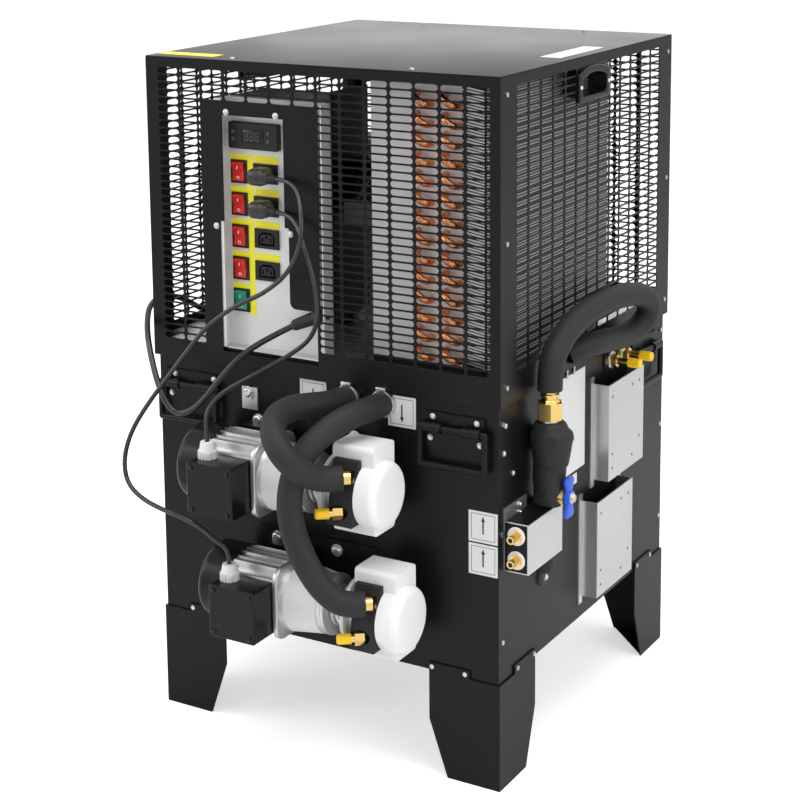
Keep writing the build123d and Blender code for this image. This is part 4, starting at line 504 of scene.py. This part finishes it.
# Under the cover lies a bright deck that carries the machines. Below it hangs the steel tank in its
# foam, with the copper coil and the agitator's shaft in the coolant.
galvanised = cured("galvanised_sheet", (0.55, 0.56, 0.56), (0.7, 0.71, 0.71), 0.34, 260, 0.12, metallic=0.9)
foam_yellow = cured("tank_foam", (0.62, 0.55, 0.38), (0.72, 0.66, 0.5), 0.85, 500, 0.8)
copper = cured("copper_tube", (0.72, 0.26, 0.1), (0.86, 0.38, 0.17), 0.26, 300, 0.1, metallic=1.0)
for node in ("deck_plate", "inner_tank", "agitator_shaft"):
    dressed(node, galvanised)
dressed("tank_insulation", foam_yellow)
dressed("evaporator_coil", copper)

# The control plate is pale galvanised sheet behind the cover's window, with bare yellow labels
# stuck on above and beside each switch.
plate_zinc = cured("control_plate_zinc", (0.68, 0.68, 0.67), (0.8, 0.8, 0.79), 0.42, 320, 0.08, metallic=0.25)
dressed("control_plate", plate_zinc)
yellow = cured("yellow_label", (0.92, 0.84, 0.0), (0.96, 0.9, 0.02), 0.45, 300, 0.05)
PLATE_Y = -243.0
SWITCH_PITCH = 42.7
levels = [UPPER_PLUG - SWITCH_PITCH * index for index in range(5)]
label_skin = (PLATE_Y - 0.25, PLATE_Y)
label_parts = []
for index, level in enumerate(levels):
    label_parts.append(block((-144, -108), label_skin, (level + 15.6, level + 22.6)))
    label_parts.append(block((-117, -108), label_skin, (level - 19, level + 15.6)))
    if index < 4:
        label_parts.append(block((-106.4, -69), label_skin, (level + 13.2, level + 22.6)))
fitted(joined(label_parts), "switch_labels", yellow, "cabinet", "control_plate")

# The controller is a black moulding with four soft keys and a gloss display window, snapped into
# the plate above the switches. Its three figures are unlit.
black_gloss = cured("black_gloss", (0.006, 0.006, 0.0065), (0.01, 0.01, 0.011), 0.22, 800, 0.06,
                    specular=0.3)
black_satin = cured("black_moulding", (0.009, 0.009, 0.0095), (0.015, 0.015, 0.016), 0.4, 900, 0.2,
                    specular=0.3)
dressed("temperature_controller", black_satin)
window = rounded(block((-119, -86), (-251.1, -249.9), (793.6, 809.4)), 0.3, 2)
fitted(window, "display_window", black_gloss, "cabinet", "temperature_controller")
digit_grey = cured("digit_grey", (0.07, 0.07, 0.075), (0.1, 0.1, 0.105), 0.5, 900, 0.05)
figure_skin = (-251.3, -251.1)
FIGURE_FOOT = 796
strokes = []
for middle in (-112, -104, -96):
    for height in (FIGURE_FOOT, 801.3, 806.6):
        strokes.append(block((middle - 2, middle + 2), figure_skin, (height - 0.4, height + 0.4)))
        if height > FIGURE_FOOT:
            for side in (-2.4, 2.4):
                strokes.append(block((middle + side - 0.4, middle + side + 0.4), figure_skin,
                                     (height - 4.7, height - 0.6)))
fitted(joined(strokes), "display_digits", digit_grey, "cabinet", "temperature_controller")
key_grey = cured("key_grey", (0.05, 0.05, 0.055), (0.07, 0.07, 0.075), 0.5, 800, 0.2)
for number in range(1, 5):
    dressed("button_%d" % number, key_grey)

# The rockers are coloured gloss plastic with a raised white bar and ring, and tilt in black frames.
# Frames and outlets are black mouldings that snap into the plate.
dressed("panel_snap_ins", black_satin)
red = cured("rocker_red", (0.62, 0.012, 0.008), (0.75, 0.03, 0.02), 0.2, 900, 0.05)
green = cured("rocker_green", (0.0, 0.24, 0.14), (0.01, 0.33, 0.2), 0.2, 900, 0.05)
mark_white = cured("mark_white", (0.85, 0.85, 0.85), (0.92, 0.92, 0.92), 0.4, 900, 0.05)
ROCKER_TILT = radians(8)
CROWN_SLOPE = radians(10.9)
for index, level in enumerate(levels):
    body = "rocker_power" if index == 4 else "rocker_pump_%d" % (index + 1)
    dressed(body, green if index == 4 else red)
    pivot = place(-129.7, PLATE_Y + 1, level)
    marks = []
    for height, slope, bar_mark in ((7.2, CROWN_SLOPE, True), (-7.2, -CROWN_SLOPE, False)):
        bpy.ops.object.select_all(action="DESELECT")
        if bar_mark:
            bpy.ops.mesh.primitive_cube_add(size=1)
            mark = bpy.context.object
            mark.scale = (0.0011, 0.0003, 0.0052)
        else:
            bpy.ops.mesh.primitive_torus_add(
                major_radius=0.002, minor_radius=0.0004, major_segments=24, minor_segments=8,
                rotation=(pi / 2, 0, 0))
            mark = bpy.context.object
        bpy.ops.object.transform_apply(location=True, rotation=True, scale=True)
        out = -(4 + abs(height) / 13 * 2.5) - 0.4
        turn = Matrix.Rotation(ROCKER_TILT, 4, "X")
        on_crown = Matrix.Translation((0, out / 1000, height / 1000))
        mark.matrix_world = (Matrix.Translation(pivot) @ turn @ on_crown
                             @ Matrix.Rotation(-slope, 4, "X"))
        bpy.ops.object.transform_apply(location=True, rotation=True, scale=True)
        marks.append(mark)
    fitted(joined(marks), "marks_" + body, mark_white, body, body)

# The condenser is a pack of thin aluminium fins on copper tubes, whose return bends stand out
# of the bright end plate behind the front grille.
CORE_FOOT = 532
fins = bpy.data.materials.new("condenser_fins")
fins.use_nodes = True
nodes, links = fins.node_tree.nodes, fins.node_tree.links
shader = nodes["Principled BSDF"]
shader.inputs["Metallic"].default_value = 0.85
where = nodes.new("ShaderNodeTexCoord")
stripe = nodes.new("ShaderNodeTexWave")
stripe.bands_direction = "Z"
stripe.inputs["Scale"].default_value = 87
stripe.inputs["Distortion"].default_value = 1.5
stripe.inputs["Detail Scale"].default_value = 0.4
# The ramp's dark end is painted shade in the gaps between the fins, and its light end is the fins' bright
# metal.
fins_and_gap_shade = nodes.new("ShaderNodeValToRGB")
fins_and_gap_shade.color_ramp.elements[0].color = (0.03, 0.03, 0.032, 1)
fins_and_gap_shade.color_ramp.elements[1].color = (0.62, 0.62, 0.63, 1)
hollow = nodes.new("ShaderNodeBump")
hollow.inputs["Strength"].default_value = 0.8
hollow.inputs["Distance"].default_value = 0.001
links.new(where.outputs["Object"], stripe.inputs["Vector"])
links.new(stripe.outputs["Fac"], fins_and_gap_shade.inputs["Fac"])
split = nodes.new("ShaderNodeSeparateXYZ")
end_plate = nodes.new("ShaderNodeMath")
end_plate.operation = "LESS_THAN"
end_plate.inputs[1].default_value = place(0, -228.5, 0).y
tone = nodes.new("ShaderNodeMix")
tone.data_type = "RGBA"
tone.inputs["B"].default_value = (0.5, 0.5, 0.51, 1)
dull = nodes.new("ShaderNodeMapRange")
dull.inputs["To Min"].default_value = 0.45
dull.inputs["To Max"].default_value = 0.62
links.new(where.outputs["Object"], split.inputs["Vector"])
links.new(split.outputs["Y"], end_plate.inputs[0])
links.new(end_plate.outputs["Value"], tone.inputs["Factor"])
links.new(end_plate.outputs["Value"], dull.inputs["Value"])
links.new(dull.outputs["Result"], shader.inputs["Roughness"])
links.new(fins_and_gap_shade.outputs["Color"], tone.inputs["A"])
links.new(tone.outputs["Result"], shader.inputs["Base Color"])
links.new(stripe.outputs["Fac"], hollow.inputs["Height"])
links.new(hollow.outputs["Normal"], shader.inputs["Normal"])
dressed("condenser_core", fins)
bpy.ops.object.select_all(action="DESELECT")
bpy.ops.mesh.primitive_torus_add(
    major_radius=0.0112, minor_radius=0.0048, major_segments=24, minor_segments=12)
bend = bpy.context.object
bpy.ops.object.mode_set(mode="EDIT")
bpy.ops.mesh.select_all(action="SELECT")
bpy.ops.mesh.bisect(plane_co=(0, 0, 0), plane_no=(0, 1, 0), clear_outer=True)
bpy.ops.mesh.select_all(action="DESELECT")
bpy.ops.mesh.select_mode(type="EDGE")
bpy.ops.mesh.select_non_manifold()
bpy.ops.mesh.extrude_edges_move(TRANSFORM_OT_translate={"value": (0, 0.0045, 0)})
bpy.ops.object.mode_set(mode="OBJECT")
bpy.ops.object.shade_smooth()
TUBE_PITCH = 24.4
bends = []
for column in (138.0, 177.5):
    for index in range(14):
        copy = bend.copy()
        copy.data = bend.data.copy()
        bpy.context.scene.collection.objects.link(copy)
        copy.rotation_euler = (0, radians(33), 0)
        copy.location = place(column, -234, CORE_FOOT + TUBE_PITCH * (index + 0.55))
        bends.append(copy)
bpy.data.objects.remove(bend)
whole = joined(bends)
bpy.ops.object.transform_apply(location=True, rotation=True, scale=True)
fitted(whole, "return_bends", copper, "cabinet", "condenser_tubes", "condenser_tubes")

end_sheet = cured("end_sheet_zinc", (0.6, 0.6, 0.61), (0.82, 0.82, 0.83), 0.5, 90, 0.1, metallic=0.25)
core_end = rounded(block((62, 190), (-230.1, -229.6), (CORE_FOOT, 884)), 0.15, 1)
fitted(core_end, "condenser_end_sheet", end_sheet, "cabinet", "condenser_core")
edge = block((190, 221), (-230.6, -229.6), (CORE_FOOT, CORE_FOOT + 2))
edge.data.transform(Matrix.Translation(-place(205.5, -230.1, CORE_FOOT + 1)))
edge.rotation_euler = (0, radians(9), 0)
edge.location = place(205.5, -230.1, CORE_FOOT + 4)
bpy.ops.object.transform_apply(location=True, rotation=True, scale=True)
repeat = edge.modifiers.new("repeat", "ARRAY")
repeat.count = 95
repeat.use_relative_offset = False
repeat.use_constant_offset = True
repeat.constant_offset_displace = (0, 0, 0.00364)
bpy.ops.object.modifier_apply(modifier=repeat.name)
fitted(edge, "fin_edges", galvanised, "cabinet", "condenser_core")

# Fan, fan motor, compressor and agitator motor work inside the cover. A black partition closes
# the machine side off from the control side.
fitted(block((-46.5, -45), (-151, -60), (543, 850)), "partition_sheet", powder, "cabinet", "condenser_shroud")
dressed("condenser_shroud", powder)
dark_paint = cured("machine_paint", (0.02, 0.02, 0.021), (0.035, 0.035, 0.037), 0.4, 500, 0.2)
dressed("fan_motor", dark_paint)
dressed("compressor", dark_paint)
dressed("agitator_motor", dark_paint)
dressed("fan_blade", cured("fan_sheet", (0.03, 0.03, 0.032), (0.045, 0.045, 0.047), 0.4, 300, 0.1))

# Each pump is a finned silver motor with a black fan cover and terminal box, a silver shield
# and a pump head wrapped in white foam and black foam tape.
silver = cured("cast_silver", (0.55, 0.55, 0.56), (0.7, 0.7, 0.71), 0.33, 420, 0.25, metallic=0.85)
pale = cured("pale_casting", (0.58, 0.58, 0.57), (0.68, 0.68, 0.67), 0.4, 420, 0.2, metallic=0.3)
vinyl = cured("white_vinyl", (0.72, 0.72, 0.72), (0.78, 0.78, 0.78), 0.4, 300, 0.05)
white_plastic = cured("gland_white", (0.8, 0.8, 0.79), (0.88, 0.88, 0.87), 0.45, 500, 0.1)
PUMPS = ((-152, 385), (-123, 230))
PUMP_Y = -322
MOTOR_START = 46
MOTOR_LENGTH = 70
castings, labels, back_plates, gland_ribs = [], [], [], []
for x, z in PUMPS:
    start = x + MOTOR_START
    along = (start, start + MOTOR_LENGTH)
    axis = place(start, PUMP_Y, z)
    castings.append(bar((start, PUMP_Y, z), (1, 0, 0), 42, MOTOR_LENGTH, 48))
    for step in range(30):
        angle = 12 * step
        if 42 < angle < 138:
            continue
        rib = block(along, (-323.1, -320.9), (z + 39, z + 49))
        turn = Matrix.Rotation(radians(angle), 4, "X")
        rib.matrix_world = Matrix.Translation(axis) @ turn @ Matrix.Translation(-axis)
        bpy.ops.object.transform_apply(location=True, rotation=True, scale=True)
        castings.append(rib)
    castings.append(rounded(block(along, (-352, -332), (z - 43, z + 43)), 1.5, 2))
    castings.append(rounded(block(along, (-365, -350), (z - 36, z + 33)), 1.5, 2))
    square = []
    for corner in range(4):
        turned = radians(90 * corner + 45)
        middle = (PUMP_Y + 31 * copysign(1, cos(turned)), z + 31 * copysign(1, sin(turned)))
        square += [(middle[0] + 16 * cos(turned + radians(a)), middle[1] + 16 * sin(turned + radians(a)))
                   for a in (-45, -22, 0, 22, 45)]
    castings.append(rounded(cut_plate([square], 7, (start + MOTOR_LENGTH, 0, 0)), 1.2, 2))
    castings.append(bar((start + 77, PUMP_Y, z), (1, 0, 0), 45, 59, 64, 37))
    castings.append(rounded(bar((start + 134, PUMP_Y, z), (1, 0, 0), 39, 5, 48), 1, 2))
    castings.append(bar((start + 136, PUMP_Y, z), (1, 0, 0), 21, 32, 40))
    for ring in range(3):
        castings.append(rounded(bar((start + 141 + 8 * ring, PUMP_Y, z), (1, 0, 0), 25, 4, 40), 0.8, 2))
    castings.append(bar((start + 172, PUMP_Y, z), (1, 0, 0), 33, 40, 40))
    back_plates.append(rounded(bar((start + 166, PUMP_Y, z), (1, 0, 0), 44, 6, 64), 1.2, 2))
    bpy.ops.object.select_all(action="DESELECT")
    bpy.ops.mesh.primitive_cone_add(vertices=72, radius1=0.0443, radius2=0.0384, depth=0.044,
                                    end_fill_type="NOTHING")
    patch = bpy.context.object
    bpy.ops.object.mode_set(mode="EDIT")
    bpy.ops.mesh.select_mode(type="VERT")
    bpy.ops.mesh.select_all(action="DESELECT")
    bpy.ops.object.mode_set(mode="OBJECT")
    for corner_point in patch.data.vertices:
        corner_point.select = corner_point.co.y > -0.012
    bpy.ops.object.mode_set(mode="EDIT")
    bpy.ops.mesh.delete(type="VERT")
    bpy.ops.object.mode_set(mode="OBJECT")
    thick = patch.modifiers.new("thick", "SOLIDIFY")
    thick.thickness = 0.0005
    thick.offset = 1
    bpy.ops.object.modifier_apply(modifier=thick.name)
    patch.matrix_world = Matrix.Translation(place(start + 106, PUMP_Y, z)) @ Matrix((
        (0, 0, 1, 0), (0, 1, 0, 0), (-1, 0, 0, 0), (0, 0, 0, 1)))
    bpy.ops.object.transform_apply(location=True, rotation=True, scale=True)
    labels.append(patch)
    for step in range(16):
        angle = radians(22.5 * step)
        rib = block((-1, 1), (-1, 1), (0, 13))
        rib.data.transform(Matrix.Translation(-place(0, 0, 0)))
        rib.location = place(x + 62 + 11.4 * cos(angle), -383 + 11.4 * sin(angle), z + 27)
        rib.rotation_euler = (0, 0, angle)
        bpy.ops.object.select_all(action="DESELECT")
        rib.select_set(True)
        bpy.context.view_layer.objects.active = rib
        bpy.ops.object.transform_apply(location=True, rotation=True, scale=True)
        gland_ribs.append(rib)
fitted(joined(castings), "pump_castings", silver, "cabinet", "pump_motors", "pump_motors")
fitted(joined(back_plates), "pump_back_plates", pale, "cabinet", "pump_motors", "pump_motors")
fitted(joined(labels), "pump_labels", vinyl, "cabinet", "pump_motors", "pump_motors")
fitted(joined(gland_ribs), "gland_ribs", white_plastic, "cabinet", "cable_glands")
dressed("pump_covers", cured("black_enamel", (0.006, 0.006, 0.0065), (0.011, 0.011, 0.012), 0.24, 500, 0.12,
                             specular=0.22))
dressed("cable_glands", white_plastic)
bolts("terminal_screws", "pump_covers", 2.6, (0, -1, 0),
      [(x + side, -408, z + rise) for x, z in PUMPS for side in (54, 108) for rise in (-31, 23)],
      black_satin)
bolts("bracket_bolts", "pump_brackets", 6.4, (0, -1, 0),
      [(-94.8, -263, 430), (-68, -263, 275), (24, -263, 273.5), (-109, -263, 465), (53, -263, 430)], zinc)
dressed("pump_head_foam", cured("white_foam", (0.84, 0.85, 0.86), (0.92, 0.92, 0.92), 0.75, 700, 0.5))
dressed("pump_head_wraps", cured("foam_tape", (0.014, 0.014, 0.015), (0.03, 0.03, 0.032), 0.7, 800, 0.6,
                                 specular=0.3))
steel = cured("turned_steel", (0.45, 0.45, 0.46), (0.55, 0.55, 0.56), 0.35, 300, 0.1, metallic=1.0)
dressed("pump_rotor_upper", steel)
dressed("pump_rotor_lower", steel)

# The supply pipe on the right is a sleeve of black pipe foam under a wrap of foam tape that
# widens upwards, with a brass union above it and a blue butterfly handle on the ball valve.
PIPE = (279, -168)
VALVE_Z = 364
sleeve = [rounded(bar((*PIPE, 352), (0, 0, 1), 20, 56, 48, 21), 2, 3),
          rounded(bar((PIPE[0] + 2, PIPE[1], 404), (0, 0, 1), 22, 34, 48, 27), 2, 3),
          rounded(bar((PIPE[0] + 3, PIPE[1], 436), (0, 0, 1), 27.5, 12, 48, 26), 3, 3),
          rounded(bar((PIPE[0] + 1, PIPE[1], 444), (0, 0, 1), 26, 15, 48, 18.5), 3, 3),
          bar((PIPE[0] - 9, PIPE[1], 262), (0, 0, 1), 14, 92, 40),
          bar((255, PIPE[1], 276), (1, 0, 0), 14, 15, 40)]
wrapped = joined(sleeve)
uneven = wrapped.modifiers.new("fine", "REMESH")
uneven.mode = "VOXEL"
uneven.voxel_size = 0.0018
bpy.ops.object.modifier_apply(modifier=uneven.name)
crinkle = bpy.data.textures.new("crinkle", "CLOUDS")
crinkle.noise_scale = 0.028
swell = wrapped.modifiers.new("swell", "DISPLACE")
swell.texture = crinkle
swell.strength = 0.0045
swell.mid_level = 0.5
bpy.ops.object.modifier_apply(modifier=swell.name)
bpy.ops.object.shade_smooth()
fitted(wrapped, "pipe_wrap", hose_foam, "cabinet", "pipe_foam", "pipe_foam")
brass = cured("machined_brass", (0.78, 0.52, 0.16), (0.9, 0.66, 0.26), 0.24, 300, 0.08, metallic=1.0)
dressed("brass_fittings", brass)
collars = [rounded(bar((*PIPE, 491), (0, 0, 1), 11.8, 4, 40), 0.8, 2),
           rounded(bar((*PIPE, 483), (0, 0, 1), 14, 5, 6, 10.5), 0.6, 2)]
fitted(joined(collars), "union_collar", brass, "cabinet", "brass_fittings")
washer = rounded(bar((*PIPE, 457), (0, 0, 1), 13.2, 5.5, 40), 0.6, 2)
fitted(washer, "union_washer", zinc, "cabinet", "brass_fittings")
blue = cured("blue_coating", (0.0, 0.07, 0.62), (0.01, 0.12, 0.75), 0.3, 500, 0.1)
wings = [(-12, 20), (-9, 26), (9, 26), (12, 20), (7, 8), (9.5, 0), (7, -8), (12, -20), (9, -26), (-9, -26),
         (-12, -20), (-7, -8), (-9.5, 0), (-7, 8)]
wing_outline = [(y + PIPE[1], z + VALVE_Z) for y, z in wings]
butterfly = rounded(cut_plate([wing_outline], 5, (303, 0, 0)), 1.6, 3)
hub = rounded(bar((302, PIPE[1], VALVE_Z), (1, 0, 0), 9.5, 8, 40), 1.4, 3)
spindle = bar((284, PIPE[1], VALVE_Z), (1, 0, 0), 4.8, 19, 24)
fitted(joined([butterfly, hub, spindle]), "valve_butterfly", blue, "valve", "valve_handle",
       "valve_handle")
nut = joined([rounded(bar((310, PIPE[1], VALVE_Z), (1, 0, 0), 7, 1, 32), 0.3, 2),
              rounded(bar((311, PIPE[1], VALVE_Z), (1, 0, 0), 5.4, 3, 6), 0.4, 2)])
fitted(nut, "valve_nut", zinc, "valve", "valve_handle")
stem_end = rounded(bar((314, PIPE[1], VALVE_Z), (1, 0, 0), 2.6, 1, 24), 0.4, 2)
fitted(stem_end, "valve_stem_end", brass, "valve", "valve_handle")
dressed("tail_caps", cured("yellow_cap", (0.93, 0.55, 0.0), (0.97, 0.63, 0.01), 0.35, 500, 0.1))
dressed("bright_brackets", galvanised)

# The return tails stand in the front of the zinc guard, each on a white washer. A thin black plate over the
# guard's front is a painted dark reflection of its bright zinc, and a black strip lies along its top. A black
# disc in each tail's end is painted shade for its open bore. Zinc screws hold the guard's tab and the wall
# fittings.
TAIL_LEVELS = (303, 334)
WALL_TAILS = (66, 106)
# The front plate is black only to paint the dark reflection of the bright zinc guard; the strip lies along
# the guard's top.
dark_plates = joined([rounded(block((257, 287), (-247.8, -247.1), (287.5, 348.5)), 0.3, 1),
                 rounded(block((255.5, 288), (-246, -152), (348.8, 350.4)), 0.3, 1)])
fitted(dark_plates, "guard_dark_plates", powder, "cabinet", "bright_brackets")
washers = [rounded(bar((273, -247.8, z), (0, -1, 0), 11.8, 1.6, 40), 0.5, 2) for z in TAIL_LEVELS]
fitted(joined(washers), "tail_washers", white_plastic, "cabinet", "brass_fittings")
# Black discs in the tails' ends are painted shade standing in for their open bores.
bore_shades = [rounded(bar((273, -264.9, z), (0, -1, 0), 3.1, 0.3, 24), 0.1, 1) for z in TAIL_LEVELS]
fitted(joined(bore_shades), "tail_bore_shade", black_satin, "cabinet", "brass_fittings")
nuts = [rounded(bar((257.5, y, 476), (1, 0, 0), 14, 4, 6), 0.6, 2) for y in WALL_TAILS]
fitted(joined(nuts), "wall_nuts", zinc, "cabinet", "brass_fittings")
washers = [rounded(bar((255, y, 476), (1, 0, 0), 17, 2, 48), 0.6, 2) for y in WALL_TAILS]
fitted(joined(washers), "wall_washers", black_satin, "cabinet", "brass_fittings")
bands = [rounded(block((255.3, 257.8), (y - 1.8, y + 1.8), (484, 504)), 0.6, 2) for y in (-69, -48)]
fitted(joined(bands), "side_clamp", zinc, "cabinet", "return_hose")
bolts("guard_screws", "bright_brackets", 3.4, (1, 0, 0), [(257, -207, 359), (257, -207, 348.5)], zinc)
bolts("wall_screws", "casing_walls", 3.0, (1, 0, 0),
      [(255, -243, 470), (255, -247, 436), (255, -222, 404), (255, -243, 322)], zinc)
boss = rounded(bar((255, -138.6, 239.6), (1, 0, 0), 13, 5, 40, 10), 1, 3)
fitted(boss, "wall_boss", rubber, "cabinet", "casing_walls")
bolts("boss_screw", "casing_walls", 3.2, (1, 0, 0), [(260, -138.6, 239.6)], zinc)

# Hose clamps hold the two pump hoses where they enter the front wall: a bright steel band round the
# hose with a worm screw's housing on top.
clamps = []
for x, z in ((43.8, 480), (94.8, 480)):
    clamps.append(rounded(bar((x, -268, z), (0, 1, 0), 17.3, 7, 48), 0.6, 2))
    clamps.append(rounded(block((x - 8, x + 6), (-269, -260.5), (z + 15.5, z + 21.5)), 1, 2))
fitted(joined(clamps), "hose_clamps", zinc, "cabinet", "pump_hoses")

# Each drop handle is a bail of round black bar that swings in the knuckles of a riveted plate. Two
# are on the front and one on each side.
dressed("handle_plates", powder)
for node in ("bail_front_right", "bail_front_left", "bail_side_right", "bail_side_left"):
    dressed(node, powder)

# The two grips in the cover's side sheets are gloss black mouldings with an arched top. Each has a
# frame on the sheet, held by two white screws, and a pocket behind it for the fingers.


def arched(y, z, rise):
    """An outline with a flat foot, upright sides and an arched top."""
    half, middle = (y[1] - y[0]) / 2, (y[0] + y[1]) / 2
    radius = (half * half + rise * rise) / (2 * rise)
    arch = []
    for step in range(17):
        across = half * (1 - step / 8)
        arch.append((middle + across, z[1] - radius + sqrt(radius * radius - across * across)))
    return [(y[0] + 3, z[0]), (y[1] - 3, z[0]), (y[1], z[0] + 3)] + arch + [(y[0], z[0] + 3)]


outer, pocket_skin = arched((-52, 45), (840.6, 886.3), 8.5), arched((-43, 36), (846, 879), 7)
pocket_hole = arched((-41, 34), (848, 877), 7)
for side, title in ((1, "right"), (-1, "left")):
    frame_ring = rounded(cut_plate([outer, pocket_hole], 3.5, (side * 260, 0, 0), side), 1.2, 3)
    pocket = cut_plate([pocket_skin, pocket_hole], 31, (side * 229.5, 0, 0), side)
    back_wall = cut_plate([pocket_skin], 2, (side * 228, 0, 0), side)
    fitted(joined([frame_ring, pocket, back_wall]), "grip_" + title, black_gloss, "cabinet", "cover_grips",
           "cover_grips")
    bolts("grip_screws_" + title, "cover_grips", 2.0, (side, 0, 0),
          [(side * 263.4, y, 861) for y in (-46.6, 39.4)], white_plastic)

# White vinyl labels with a thin border and a plain flow arrow mark the hose connections. The rating,
# service and top labels are bare vinyl, and zinc rivets hold the handle plates.
ink = cured("black_ink", (0.01, 0.01, 0.01), (0.015, 0.015, 0.015), 0.5, 300, 0.05)
flow_labels = ((-11, 474, -1), (120, 472, -1), (233.5, 342, 1), (233.5, 300, 1))
for number, (x, z, way) in enumerate(flow_labels, start=1):
    sticker = block((x - 20, x + 20), (-260.25, -260), (z - 20, z + 20))
    fitted(sticker, "flow_label_%d" % number, vinyl, "cabinet", "casing_front")
    stem = block((x - 1, x + 1), (-260.4, -260.2), (z - 9, z + 9))
    tip = bar((x, -260.3, z + way * 7), (0, 0, way), 3.2, 7, 3, 0.05)
    for corner_point in tip.data.vertices:
        corner_point.co.y = place(0, -260.3, 0).y + (corner_point.co.y - place(0, -260.3, 0).y) * 0.03
    fitted(joined([stem, tip]), "flow_arrow_%d" % number, ink, "cabinet", "casing_front")
    border_skin = (-260.35, -260.25)
    border = [block((x - 16.5, x + 16.5), border_skin, (z + rise - 0.3, z + rise + 0.3))
              for rise in (-16.5, 16.5)]
    border += [block((x + side - 0.3, x + side + 0.3), border_skin, (z - 16.2, z + 16.2))
               for side in (-16.2, 16.2)]
    fitted(joined(border), "label_border_%d" % number, key_grey, "cabinet", "casing_front")
bolts("handle_rivets", "handle_plates", 2.9, (0, -1, 0),
      [(165.7, -263, 474.5), (161.9, -263, 446.9), (226.7, -263, 473.8), (230.9, -263, 446.6),
       (-228, -263, 474), (-234, -263, 446.5), (-165, -263, 474), (-162, -263, 446.5)], zinc)
rating = block((255, 255.25), (-97, -10), (351, 486))
fitted(rating, "rating_label", vinyl, "cabinet", "casing_walls")
small = block((255, 255.25), (-83, -34), (333, 347))
fitted(small, "service_label", vinyl, "cabinet", "casing_walls")
top_yellow = block((-255, -167), (-243, -219), (900, 900.25))
fitted(top_yellow, "top_label_yellow", yellow, "cabinet", "cover_top")
top_white = block((214, 243), (-65, 68), (900, 900.25))
fitted(top_white, "top_label_white", vinyl, "cabinet", "cover_top")

bpy.data.objects.remove(bolt_pattern)

# The studio has a pale floor, which keeps the chiller's shadow, a white surround, and soft lamps
# above, on both sides and behind.
bpy.ops.object.select_all(action="DESELECT")
bpy.ops.mesh.primitive_plane_add(size=60, location=(0, 0, 0))
floor = bpy.context.object
floor.name = "studio_floor"
paper = bpy.data.materials.new("studio_paper")
paper.use_nodes = True
nodes, links = paper.node_tree.nodes, paper.node_tree.links
shader = nodes["Principled BSDF"]
shader.inputs["Base Color"].default_value = (0.9, 0.9, 0.9, 1)
shader.inputs["Roughness"].default_value = 0.9
shader.inputs["Emission Color"].default_value = (1, 1, 1, 1)
path = nodes.new("ShaderNodeLightPath")
glow = nodes.new("ShaderNodeMath")
glow.operation = "MULTIPLY"
glow.inputs[1].default_value = 0.55
links.new(path.outputs["Is Camera Ray"], glow.inputs[0])
links.new(glow.outputs["Value"], shader.inputs["Emission Strength"])
floor.data.materials.append(paper)
world = bpy.data.worlds.new("studio")
bpy.context.scene.world = world
world.use_nodes = True
nodes, links = world.node_tree.nodes, world.node_tree.links
background = nodes["Background"]
background.inputs["Color"].default_value = (1, 1, 1, 1)
path = nodes.new("ShaderNodeLightPath")
strength = nodes.new("ShaderNodeMapRange")
strength.inputs["To Min"].default_value = 0.55
strength.inputs["To Max"].default_value = 1.0
seen = nodes.new("ShaderNodeMath")
seen.operation = "MAXIMUM"
links.new(path.outputs["Is Camera Ray"], seen.inputs[0])
links.new(path.outputs["Is Glossy Ray"], seen.inputs[1])
links.new(seen.outputs["Value"], strength.inputs["Value"])
links.new(strength.outputs["Result"], background.inputs["Strength"])
lamps = (("overhead", (0.4, -0.6, 3.2), 2.4, 60), ("left", (-2.6, -1.8, 1.8), 1.8, 30),
         ("right", (2.8, -0.6, 1.6), 1.8, 25), ("behind", (-1.2, 4.2, 2.6), 4.0, 28))
for title, spot, size, power in lamps:
    bpy.ops.object.select_all(action="DESELECT")
    bpy.ops.object.light_add(type="AREA", location=spot)
    lamp = bpy.context.object
    lamp.name = title
    lamp.data.size = size
    lamp.data.energy = power
    lamp.rotation_euler = (Vector((0, 0, 0.5)) - Vector(spot)).to_track_quat("-Z", "Y").to_euler()
bpy.context.scene.view_settings.view_transform = "Standard"

bpy.context.view_layer.update()
